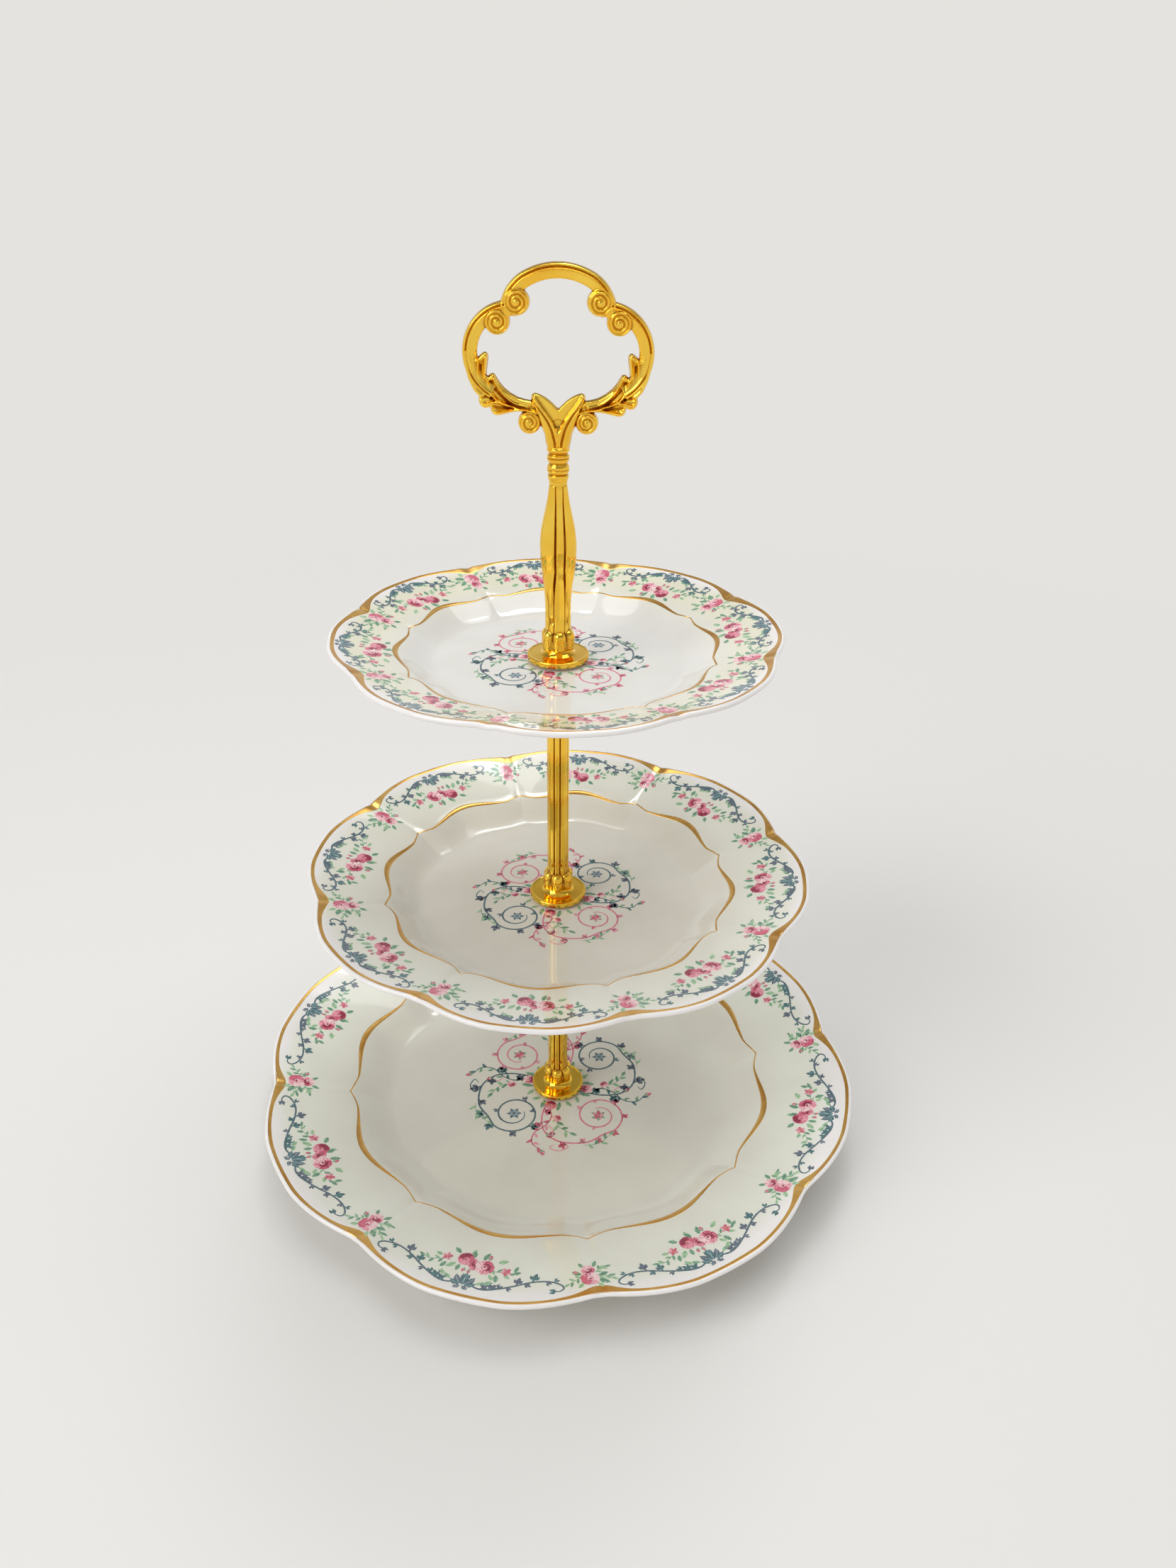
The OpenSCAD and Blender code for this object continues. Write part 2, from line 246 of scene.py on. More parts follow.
INKS = {
    "deep": ((132, 38, 62), (166, 58, 84)),
    "rose": ((196, 84, 110), (222, 118, 140)),
    "pink": ((222, 140, 156), (238, 172, 184)),
    "blush": ((240, 196, 200), (250, 220, 220)),
    "leaf": ((98, 148, 114), (144, 184, 148)),
    "sprig": ((138, 182, 140), (184, 212, 172)),
    "teal": ((64, 100, 104), (98, 134, 136)),
    "slate": ((82, 94, 108), (116, 126, 138)),
    "haze": ((132, 158, 164), (166, 186, 188)),
    "coral": ((206, 112, 84), (228, 148, 110)),
}
ink_names = list(INKS)
ink_materials = [mottled("print_" + ink, srgb(*dark), srgb(*light), 900, 0.12, coat=0.3)
                 for ink, (dark, light) in INKS.items()]


# ----------------------------------------------------------------------- plates
# Everything from here to the stage is in millimetres.
LOBES = 8
LOBE = 360 / LOBES      # degrees
WELL_T = 3.6            # thickness of the floor
EDGE_T = 2.0            # thickness of the marly and the rim
FOOT_W = 3.2            # width of the foot ring
FOOT_ROUND = 0.7        # the foot's lower edges
OUTER_FILLET = 1.6      # outside the foot, up to the plate's underside
INNER_FILLET = 1.4      # inside it
PLATE_HOLE_R = 4.0
HOLE_ROUND = 0.4        # the glazed edges of the hole
CUSP_ROUND = 1.1        # degrees over which each cusp of the outline is rounded
FLANGE_R = 11.0         # the metal flange on each floor
OUTLINE_TRIM = 0.4      # the glazed outline stays inside the solid's


def steps(count, start=0.0, stop=1.0):
    """Even steps between two values, without the first."""
    return np.linspace(start, stop, count)[1:]


class Plate:
    """The lobed surface of one plate, from its CAD node's own size.

    turn is the direction of a cusp in degrees, and notch its depth. The verge, where the wall meets the
    marly, has a radius, a height above the floor (shoulder), and dips beside each cusp. The wall is as wide
    as the cavetto. The foot ring has a radius and a height.
    """

    def __init__(self, node, body, turn, notch, verge, dip, cavetto, shoulder, foot, foot_h, well, band):
        lo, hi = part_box(node)
        points = np.array([v.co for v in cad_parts[node].data.vertices]) / MM
        self.node, self.body, self.turn = node, body, turn
        self.radius = float(np.hypot(points[:, 0], points[:, 1]).max()) - OUTLINE_TRIM
        self.bottom, self.rim = lo.z / MM, hi.z / MM
        self.under = self.bottom + foot_h
        self.floor = self.under + WELL_T
        self.notch, self.verge, self.dip, self.foot = notch, verge, dip, foot
        self.well_r = verge - cavetto
        self.shoulder = self.floor + shoulder
        self.colours = well, band

    def off_cusp(self, angle):
        """Degrees from the nearest cusp, for an angle in radians."""
        return np.abs(wrapped(np.degrees(angle) - self.turn, LOBE))

    def outline(self, angle):
        away = np.sqrt(self.off_cusp(angle) ** 2 + CUSP_ROUND ** 2) - CUSP_ROUND
        return self.radius - self.notch * np.clip(1 - away / (LOBE / 2 * 0.7), 0, 1) ** 1.5

    def verge_share(self, angle):
        """0 at mid lobe, 1 at the dips beside each cusp, and nearly 0 at the cusp."""
        t = 1 - self.off_cusp(angle) / (LOBE / 2)
        low = 0.72
        before = 0.5 - 0.5 * np.cos(pi * t / low)
        after = 1 - 0.9 * np.clip((t - low) / (1 - low), 0, 1) ** 1.5
        return np.where(t < low, before, after)

    def drawn_in(self, r, angle, amount=1.0):
        """A radius or height that shares in the verge's dips."""
        return r - amount * self.dip * self.verge_share(angle)

    def top(self, r, angle):
        """Height of the upper surface: floor up to rw, wall up to rv, then marly, creased at the cusps."""
        rv, zv = self.drawn_in(self.verge, angle), self.drawn_in(self.shoulder, angle, 0.32)
        rw = self.drawn_in(self.well_r, angle, 0.4)
        edge = self.outline(angle) - EDGE_T / 2
        s = np.clip((r - rw) / (rv - rw), 0, 1)
        wall = self.floor + (zv - self.floor) * (0.35 * smooth(s) + 0.65 * s ** 2)
        m = np.clip((r - rv) / (edge - rv), 0, 1.1)
        marly = zv + (self.rim - zv) * (0.8 * m + 0.2 * m * m)
        round_off = 0.2 * bump(r - rv, 1.8)
        z = np.where(r <= rv, wall, marly) - round_off
        z = np.where(r <= rw, np.minimum(z + round_off, self.floor), z)
        crease = np.where(r > rv, 0.4 * np.exp(-m * 4) + 0.16 + 0.25 * m * m, 0.56 * s ** 14)
        arc = np.radians(self.off_cusp(angle)) * r
        return z - crease * bump(arc, 2.0) * np.clip((r - rw) / 4, 0, 1)

    def columns(self, per_lobe):
        """Angles round the plate, closer together beside the cusps."""
        t = (np.arange(per_lobe) / per_lobe - 0.5) * 2
        within = (t + 0.32 * np.sin(pi * t) / pi) / 2
        starts = self.turn + LOBE * np.arange(LOBES)
        return np.radians((starts[:, None] + LOBE / 2 + within * LOBE).ravel())

    def section(self, angles):
        """Rows of radius and height, from the hole's top edge over the plate and back under it."""
        rv, rw = self.drawn_in(self.verge, angles), self.drawn_in(self.well_r, angles, 0.4)
        half = EDGE_T / 2
        edge = self.outline(angles) - half
        hole, lip, bend = PLATE_HOLE_R, PLATE_HOLE_R + HOLE_ROUND, 0.3 * HOLE_ROUND
        rows = [(hole, self.floor - HOLE_ROUND), (hole + bend, self.floor - bend)]
        floor, marly = np.linspace(0, 1, 16) ** 0.9, np.concatenate([steps(10, 0, 0.15), steps(30, 0.15)])
        for start, stop, shares in ((lip, rw, floor), (rw, rv, steps(30)), (rv, edge, marly)):
            for s in shares:
                r = start + s * (stop - start)
                rows.append((r, self.top(r, angles)))
        rim_z = self.top(edge, angles)
        for a in steps(15, 0, pi):
            rows.append((edge + half * sin(a), rim_z - half + half * cos(a)))
        edge_z = rim_z - EDGE_T
        shoulder_r, shoulder_z = self.drawn_in(self.verge + EDGE_T, angles, 0.4), self.shoulder - EDGE_T
        for s in steps(22):
            rows.append((edge + s * (shoulder_r - edge),
                         edge_z + (shoulder_z - edge_z) * (1.1 * s - 0.1 * s * s)))
        turn_in = self.well_r + EDGE_T
        for s in steps(20):
            rows.append((shoulder_r + s * (turn_in - shoulder_r),
                         shoulder_z + (self.under - shoulder_z) * (0.5 * s + 0.5 * smooth(s))))
        for s in (0.5, 1):
            rows.append((turn_in + s * (self.foot + OUTER_FILLET - turn_in), self.under))

        def corner(r, z, across, up, turns):
            """A quarter round, level at 0 and upright at 1."""
            for a in turns:
                rows.append((r + across * (1 - sin(a * pi / 2)), z + up * (1 - cos(a * pi / 2))))

        inner, middle = self.foot - FOOT_W, self.bottom - self.under
        corner(self.foot, self.under, OUTER_FILLET, -OUTER_FILLET, (0.3, 0.6, 0.85, 1))
        rows += [(self.foot, self.under + middle * s) for s in (0.55, 0.85)]
        corner(self.foot, self.bottom, -FOOT_ROUND, FOOT_ROUND, (0.65, 0.3, 0))
        corner(inner, self.bottom, FOOT_ROUND, FOOT_ROUND, (0, 0.3, 0.65, 1))
        rows += [(inner, self.under + middle * s) for s in (0.85, 0.55)]
        corner(inner, self.under, -INNER_FILLET, -INNER_FILLET, (1, 0.85, 0.6, 0.3, 0))
        start = inner - INNER_FILLET
        rows += [(start + s * (lip - start), self.under) for s in steps(7)]
        return rows + [(hole + bend, self.under + bend), (hole, self.under + HOLE_ROUND)]

    def build(self):
        angles = self.columns(72)
        verts, faces = lathe(self.section(angles), angles, loop=True)
        glaze = porcelain("glaze_" + self.node, *self.colours, self.radius, self.verge)
        piece = to_object(self.node + "_porcelain", verts, faces, [glaze], self.body)
        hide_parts(self.node)

    def band(self, name, inner, outer, lift=0.05):
        """A gilded line on the glaze between two radii given as functions of the angle."""
        angles = self.columns(120)
        across = np.linspace(0, 1, 7)
        sunk, deep = 0.03, 0.12     # its edges and its underside, below the glaze
        crown = (lift + sunk) * np.clip(np.sin(across * pi) * 2.2, 0, 1) - sunk
        rows = []
        for s, level in [*zip(across, crown), *((s, -deep) for s in across[::-1])]:
            r = inner(angles) + s * (outer(angles) - inner(angles))
            rows.append((r, self.top(r, angles) + level))
        verts, faces = lathe(rows, angles, loop=True)
        to_object(name, verts, faces, [gold_print], self.body)

    def gild(self):
        wobble = random.Random(len(self.node))
        phases = [(k, wobble.uniform(0, TAU)) for k in (13, 29, 47)]

        def hand(angle, amount):
            """The unevenness of a line painted by hand."""
            return amount * sum(np.sin(k * angle + p) for k, p in phases) / 3

        def rim_out(angle):
            return self.outline(angle) - 1.1 + 0.3 * bump(self.off_cusp(angle), 4) + hand(angle, 0.05)

        def rim_in(angle):
            notch = bump(self.off_cusp(angle), 3.6 * 126 / self.radius)
            return self.outline(angle) - 2.65 - 2.4 * notch + hand(angle + 1, 0.05)

        def verge_line(share):
            def line(angle):
                t = 1 - self.off_cusp(angle) / (LOBE / 2)
                swell = 0.32 + (0.006 * self.radius + 0.24) * (1 - smooth(t / 0.9)) + hand(angle, 0.03)
                return self.drawn_in(self.verge, angle) + share * swell
            return line

        self.band(self.node + "_rim_gilding", rim_in, rim_out)
        self.band(self.node + "_verge_gilding", verge_line(-0.8), verge_line(1.25), 0.06)


top_plate = Plate("top_plate", "top_tier", turn=30, notch=2.9, verge=57, dip=2.1, cavetto=13, shoulder=6.2,
                  foot=44, foot_h=3.0, well=srgb(228, 227, 220), band=srgb(231, 228, 206))
middle_plate = Plate("middle_plate", "middle_tier", turn=16, notch=4.2, verge=68.5, dip=2.9, cavetto=13.5,
                     shoulder=8.4, foot=55, foot_h=3.0, well=srgb(228, 224, 211), band=srgb(231, 231, 217))
bottom_plate = Plate("bottom_plate", "base", turn=8.5, notch=5.1, verge=89.8, dip=3.2, cavetto=17.8,
                     shoulder=8.4, foot=72, foot_h=4.7, well=srgb(228, 226, 214), band=srgb(231, 232, 219))
for plate in (top_plate, middle_plate, bottom_plate):
    plate.build()
    plate.gild()


# -------------------------------------------------------------- printed designs
PRINT_LIFT = 0.035      # top of the lowest layer above the glaze
PRINT_LAYER = 0.011     # each further layer above that
PRINT_SINK = 0.03       # underside of every layer below the glaze
SCROLL_Y = -6.4         # where the border's scrolls start, from the outline at mid lobe


def polar(radius, degrees, x=0.0, y=0.0):
    return x + radius * cos(radians(degrees)), y + radius * sin(radians(degrees))


def heading(line, i):
    """Direction in which a line arrives at one of its points, in degrees."""
    dx, dy = line[i] - line[i - 1]
    return math.degrees(math.atan2(dy, dx))


def turned_by(points, degrees, shift):
    a = radians(degrees)
    return points @ np.array([[cos(a), sin(a)], [-sin(a), cos(a)]]) + np.array(shift)


def spline(points, spacing):
    """Evenly dense points on a smooth curve through a few points."""
    p = np.array(points, float)
    ends = np.vstack([2 * p[0] - p[1], p, 2 * p[-1] - p[-2]])
    out = []
    for a, b, c, d in zip(ends, ends[1:], ends[2:], ends[3:]):
        n = max(2, int(np.hypot(*(c - b)) / spacing) + 1)
        t = (np.arange(n) / n)[:, None]
        out.append(0.5 * (2 * b + (c - a) * t + (2 * a - 5 * b + 4 * c - d) * t ** 2
                          + (3 * b - a - 3 * c + d) * t ** 3))
    return np.vstack(out + [p[-1:]])


class Print:
    """A flat design in millimetres: closed shapes, each with an ink and a layer."""

    def __init__(self, seed):
        self.hand = random.Random(seed)
        self.shapes = []

    def vary(self, amount):
        return self.hand.uniform(-amount, amount)

    def shape(self, outline, faces, ink, layer):
        self.shapes.append((outline, faces, ink_names.index(ink), layer))

    def blob(self, outline, ink, layer):
        x, y = outline.T
        if np.sum(x * np.roll(y, -1) - y * np.roll(x, -1)) < 0:
            outline = outline[::-1]
        self.shape(outline, [list(range(len(outline)))], ink, layer)

    def oval(self, x, y, long, wide, degrees, ink, layer):
        a = around(12)
        k = np.array([1 + self.vary(0.06) for _ in a])
        outline = np.stack([long * np.cos(a) * k, wide * np.sin(a) * k], 1)
        self.blob(turned_by(outline, degrees, (x, y)), ink, layer)

    def stroke(self, points, width, ink, layer, ends=(0.35, 0.35), spacing=0.7):
        """A line that swells from a share of its width at each end."""
        line = spline(points, spacing)
        step = np.gradient(line, axis=0)
        step /= np.maximum(np.hypot(*step.T), 1e-9)[:, None]
        normal = np.stack([-step[:, 1], step[:, 0]], 1)
        t = np.linspace(0, 1, len(line))
        half = (width / 2 * np.minimum(1, np.minimum(ends[0] + t * 4, ends[1] + (1 - t) * 4)))[:, None]
        last = 2 * len(line) - 1
        outline = np.vstack([line - normal * half, (line + normal * half)[::-1]])
        self.shape(outline, [[i, i + 1, last - 1 - i, last - i] for i in range(len(line) - 1)], ink, layer)
        return line

    def leaf(self, x, y, degrees, length, width, ink, layer, vein=None, bend=0.0):
        t = np.linspace(0, 1, 8)
        half = width / 2 * np.sin(pi * t ** 0.85) * (1 + 0.12 * np.where(np.arange(8) % 2, 1, -1))
        half[0] = half[-1] = 0
        curve = bend * length * np.sin(pi * t)
        low = np.stack([t * length, curve - half], 1)
        high = np.stack([t * length, curve + half], 1)[-2:0:-1]
        self.blob(turned_by(np.vstack([low, high]), degrees, (x, y)), ink, layer)
        if vein:
            line = turned_by(np.stack([t * length, curve], 1)[:7], degrees, (x, y))
            self.stroke(line, 0.1 * width + 0.04, vein, layer + 1, spacing=1.0)

    def tuft(self, x, y, degrees, size, ink, count):
        """A small acanthus leaf on a short stalk: several lobes, the outer ones bent back."""
        tip = polar(0.3 * size, degrees, x, y)
        self.stroke([(x, y), tip], 0.16 * size, ink, 1, ends=(1, 1), spacing=0.4)
        for k in range(count):
            turn = (k - (count - 1) / 2) * 40
            long = 0.75 * size * (1 - 0.006 * abs(turn))
            bend = 0.12 * np.sign(turn)
            self.leaf(*tip, degrees + turn + self.vary(5), long, long * 0.5, ink, 1, bend=bend)

    def sprig(self, points, leaves, size):
        """A thin stem with leaves on both sides."""
        line = self.stroke(points, 0.24, "leaf", 2)
        for k in range(leaves):
            i = int((k + 0.8) / leaves * (len(line) - 1))
            side = 0 if k == leaves - 1 else 48 if k % 2 else -48
            ink, vein = ("leaf", "teal") if k % 2 else ("sprig", "leaf")
            self.leaf(*line[i], heading(line, i) + side + self.vary(8), size * (1 + self.vary(0.15)),
                      size * 0.42, ink, 2, vein)

    def floret(self, x, y, size):
        """An open flower of five petals."""
        start = self.vary(30)
        for k in range(5):
            a = start + k * 72
            self.oval(*polar(0.55 * size, a, x, y), 0.42 * size, 0.3 * size, a, "rose" if k % 2 else "pink", 3)
        for k in range(3):
            self.leaf(x, y, start + 36 + k * 120, 0.7 * size, 0.16 * size, "deep", 4)
        self.oval(x, y, 0.2 * size, 0.2 * size, 0, "coral", 5)

    def bud(self, x, y, degrees, size, layer):
        for turn, length, width, ink, over in ((0, 1, 0.62, "rose", 0), (14, 0.8, 0.26, "pink", 1),
                                               (-24, 0.6, 0.18, "leaf", 2), (24, 0.6, 0.18, "leaf", 2)):
            self.leaf(x, y, degrees + turn, size * length, size * width, ink, layer + over)

    def rose(self, x, y, size, degrees, layer, dark=False, soft=False):
        """A full rose, lit from one side: outer petals, folds between them, a cupped heart."""
        tones = ["deep", "rose", "rose", "pink", "pink"] if dark else ["rose", "rose", "pink", "blush", "blush"]
        fold, heart = ("rose", "pink") if soft else ("deep", "rose")

        def at(radius, a):
            return polar(radius * size, a + degrees, x, y)

        def tone(a, shift=0):
            light = 0.5 + 0.5 * cos(radians(a))
            return tones[min(4, max(0, int(light * 4.99) + shift))]

        for k in range(6):
            a = k * 60 + 30 + self.vary(9)
            self.oval(*at(0.54, a), 0.5 * size, 0.42 * size, a + degrees + 90, tone(a), layer + k % 2)
        for k in range(6):
            a = k * 60 + self.vary(6)
            arc = [at(0.98, a), at(0.72, a + 7), at(0.44, a + 3)]
            ink = fold if tone(a) in ("deep", "rose") else "rose"
            self.stroke(arc, 0.08 * size, ink, layer + 2, spacing=0.5)
        for k in range(5):
            a = k * 72 + self.vary(8)
            arc = [at(0.82, a - 24), at(0.91, a), at(0.82, a + 24)]
            self.stroke(arc, 0.07 * size, tone(a, 1), layer + 2, spacing=0.5)
        self.oval(*at(-0.06, 0), 0.52 * size, 0.46 * size, degrees + 90, heart, layer + 3)
        self.oval(*at(0.16, 0), 0.34 * size, 0.3 * size, degrees + 90, tones[3], layer + 4)
        for k, (radius, start, stop, width, ink) in enumerate((
                (0.5, 100, 260, 0.2, fold), (0.46, -70, 60, 0.1, tones[4]), (0.34, 120, 290, 0.13, fold),
                (0.3, -60, 70, 0.08, "rose"), (0.2, 30, 230, 0.1, tones[4]), (0.12, 180, 380, 0.12, "deep"))):
            arc = [at(radius, start + (stop - start) * t) for t in (0, 0.25, 0.5, 0.75, 1)]
            self.stroke(arc, width * size, ink, layer + 5 + k // 3, spacing=0.4)
        self.oval(*at(-0.04, 0), 0.1 * size, 0.08 * size, 0, "coral" if dark else "deep", layer + 7)

    def scroll(self, points, width, tufts, flip, scale, inks):
        """A smooth scrolling stem with a second tone along it, and small acanthus leaves standing off it."""
        line = self.stroke(points, width, inks[1], 1, ends=(0.75, 0.45))
        self.stroke([(px, py - 0.2 * width) for px, py in points], width * 0.4, inks[0], 2)
        for place, turn, size, count in tufts:
            i = int(place * (len(line) - 1))
            self.tuft(*line[i], heading(line, i) + flip * turn, size * scale, self.hand.choice(inks), count)

    def solid(self, place):
        """Points, faces and inks of thin closed solids; place sets a flat point on the glaze."""
        verts, faces, inks = [], [], []
        for outline, tops, ink, layer in self.shapes:
            n, start = len(outline), len(verts)
            on = place(outline)
            for level in (PRINT_LIFT + PRINT_LAYER * layer, -PRINT_SINK):
                verts += [(x, y, z + level) for x, y, z in on]
            for f in tops:
                faces += [[start + v for v in f], [start + n + v for v in reversed(f)]]
            for i in range(n):
                j = (i + 1) % n
                faces.append([start + i, start + n + i, start + n + j, start + j])
            inks += [ink] * (2 * len(tops) + n)
        return verts, faces, inks


# The border's scroll, as shares of its length and depth, and the acanthus leaves on it: place along the
# scroll, angle from it in degrees, size, and lobes.
SCROLL_PATH = (
    (0, 0.3), (0.04, 0.12), (0.11, 0), (0.2, 0.04), (0.32, 0.26), (0.46, 0.56), (0.6, 0.86), (0.74, 1),
    (0.86, 0.94), (0.95, 0.7), (0.97, 0.44), (0.92, 0.26), (0.88, 0.32))
SCROLL_TUFTS = (
    (0.14, -50, 3.6, 3), (0.2, -40, 4, 3), (0.27, -36, 3.2, 2), (0.36, 52, 2.6, 2), (0.45, -56, 4.2, 3),
    (0.52, 48, 3, 3), (0.6, -60, 4.6, 3), (0.7, 50, 2.8, 2), (0.77, -52, 2.8, 2), (0.98, 0, 3.2, 4))
# Leaves, each with its place, direction, length and ink: at the scrolls' root, round the roses under it, and
# round those by the notch.
ROOT_LEAVES = (
    (0, -6.8, -90, 6.6, "teal"), (0.5, -7.2, -55, 5.4, "slate"), (-0.5, -7.2, -125, 5.4, "slate"),
    (0.8, -7, -20, 4.4, "teal"), (-0.8, -7, -160, 4.4, "teal"), (0, -8.6, -72, 4.2, "slate"),
    (0, -8.6, -110, 4.2, "teal"), (0.4, -6.4, 38, 3, "slate"), (-0.4, -6.4, 142, 3, "slate"))
LOW_LEAVES = (
    (-9.4, -3.8, 205, 4.4, "sprig"), (-3.4, -3.8, 250, 4.6, "leaf"), (0.2, -4, 285, 4, "leaf"),
    (2, -5.4, 250, 3.2, "sprig"), (-10, 2.6, 100, 4, "leaf"), (-12.8, 1.8, 150, 3.2, "sprig"),
    (6.2, 0.6, 55, 4.4, "sprig"), (6.4, -4.6, 330, 4, "leaf"), (9.6, 1.6, 70, 3.6, "leaf"),
    (-7.6, 3, 130, 3.2, "sprig"), (4.4, 1, 85, 3.6, "leaf"), (-16, 0.6, 190, 3.4, "leaf"),
    (-16.4, -0.4, 250, 3.2, "leaf"), (12.4, -1, 350, 3.2, "sprig"))
NOTCH_LEAVES = (
    (-3, 1.4, 150, 4.8, "leaf"), (-3.2, -0.6, 200, 4.2, "leaf"), (3, -1.6, 330, 4.2, "leaf"),
    (2.4, 2.6, 48, 3.6, "sprig"), (-1.8, -5.6, 240, 3.6, "leaf"), (2, -5.4, 305, 3.2, "leaf"),
    (-2.6, 3.2, 120, 3.2, "sprig"), (-3.4, -3.6, 215, 3.8, "sprig"))
WREATH_TUFTS = (
    (0.05, 56, 5.2, 3), (0.12, -56, 5.2, 3), (0.17, 50, 5, 3), (0.23, -50, 5.4, 3), (0.3, 46, 4.4, 3),
    (0.35, -54, 4.8, 3), (0.42, -46, 5, 3), (0.5, -40, 4.2, 3), (0.57, -52, 4.6, 3), (0.64, 46, 3, 2),
    (0.71, -46, 3.6, 2), (0.82, -42, 3, 2))


def border_design(half, depth, bold, fine, drop, seed):
    """One lobe of the border: two scrolls from a leaf, roses under it, and a rose by the notch.

    half is half a lobe's width, depth the scrolls' depth, bold the strokes' weight, fine the size of leaves
    and petals, and drop how much further in the roses lie.
    """
    d = Print(seed)
    root, end = 2.2, half - 8.6
    petal = 0.46 + 0.54 * fine
    for side in (1, -1):
        def at(a, b):
            return side * (root + (end - root) * a), SCROLL_Y - depth * b

        path = [at(*p) for p in SCROLL_PATH]
        d.scroll(path, 0.86 * bold, SCROLL_TUFTS, side, 0.3 + 0.75 * fine, ("teal", "slate"))
        for a, b in ((0.2, 0.1), (0.29, 0.26)):
            tendril = [at(a, b), at(a - 0.05, b + 0.07), at(a - 0.08, b + 0.24), at(a - 0.05, b + 0.33)]
            d.stroke(tendril, 0.5 * bold, "teal", 1)
        hook = [at(0, 0.3), (side * 1.3, -6.9), (side * 1.7, -5.6), (side * 2.7, -5.9)]
        d.stroke(hook, 0.55 * bold, "slate", 1)
    for x, y, turn, size, ink in ROOT_LEAVES:
        size *= fine
        d.leaf(x, y, turn, size, size * 0.48, ink, 3 + (ink == "teal"), "haze", 0.1 * np.sign(x))
    for x, y, turn in ((-4.6, -8.2, 215), (4.8, -8.4, 325), (-7.2, -8.8, 230), (7.6, -9.0, 305)):
        d.leaf(x, y, turn, 3.6 * fine, 1.7 * fine, "sprig", 0, "leaf")

    def foliage(x0, y0, leaves):
        for x, y, turn, size, ink in leaves:
            size *= 0.4 + 0.6 * fine
            vein = "teal" if ink == "leaf" else "leaf"
            d.leaf(x0 + x, y0 + y, turn + d.vary(6), size, size * 0.5, ink, 2, vein)

    def sprigs(x0, y0, twigs):
        for points, leaves, size in twigs:
            d.sprig([(x0 + x, y0 + y) for x, y in points], leaves, size * fine)

    low = SCROLL_Y - depth * 1.5 - drop
    foliage(0, low, LOW_LEAVES)
    sprigs(0, low, ((((8.6, -0.4), (12, 0.8), (15.6, 2.6), (18.4, 2.4)), 6, 3.0),
                    (((-7, 0.6), (-11.4, 0.9), (-15.4, 0.9)), 4, 2.6)))
    for x, y, size, turn, layer, dark in (
            (-5.0, -0.2, 4.0, 20, 4, False), (3.2, -2.4, 3.5, 110, 4, True), (-0.8, 0.8, 1.8, 60, 3, True),
            (0.6, -0.4, 1.4, 10, 3, True), (-0.4, -2.2, 1.3, 200, 3, True)):
        d.rose(x, low + y, size * petal, turn, layer, dark)
    for x, y, size in ((-13.4, 0.2, 2.3), (10.4, -1.2, 2.2)):
        d.floret(x, low + y, size * petal)
    for x, y, turn, size in ((-5.6, -4.2, 262, 2.8), (1.8, 2.0, 74, 2.4), (0.2, 2.4, 100, 2.2)):
        d.bud(x, low + y, turn, size * petal, 3)

    tall = SCROLL_Y - depth * 1.12 - 0.7 * drop
    foliage(half, tall, NOTCH_LEAVES)
    sprigs(half, tall, ((((-2.6, 0.4), (-5.4, -0.2), (-8.0, 1.6)), 5, 3.0),
                        (((2.8, -0.6), (5.4, 1.0), (8.0, 3.0)), 5, 2.8),
                        (((-2.0, -2.6), (-4.8, -4.6), (-6.8, -4.8)), 4, 2.6)))
    d.bud(half + 4.8, tall - 1.6, 280, 2.6, 3)
    d.rose(half, tall + 0.6, 3.8 * petal, 200, 4, soft=True)
    d.rose(half + 0.4, tall - 4.0 * petal, 2.9 * petal, 300, 3)
    return d


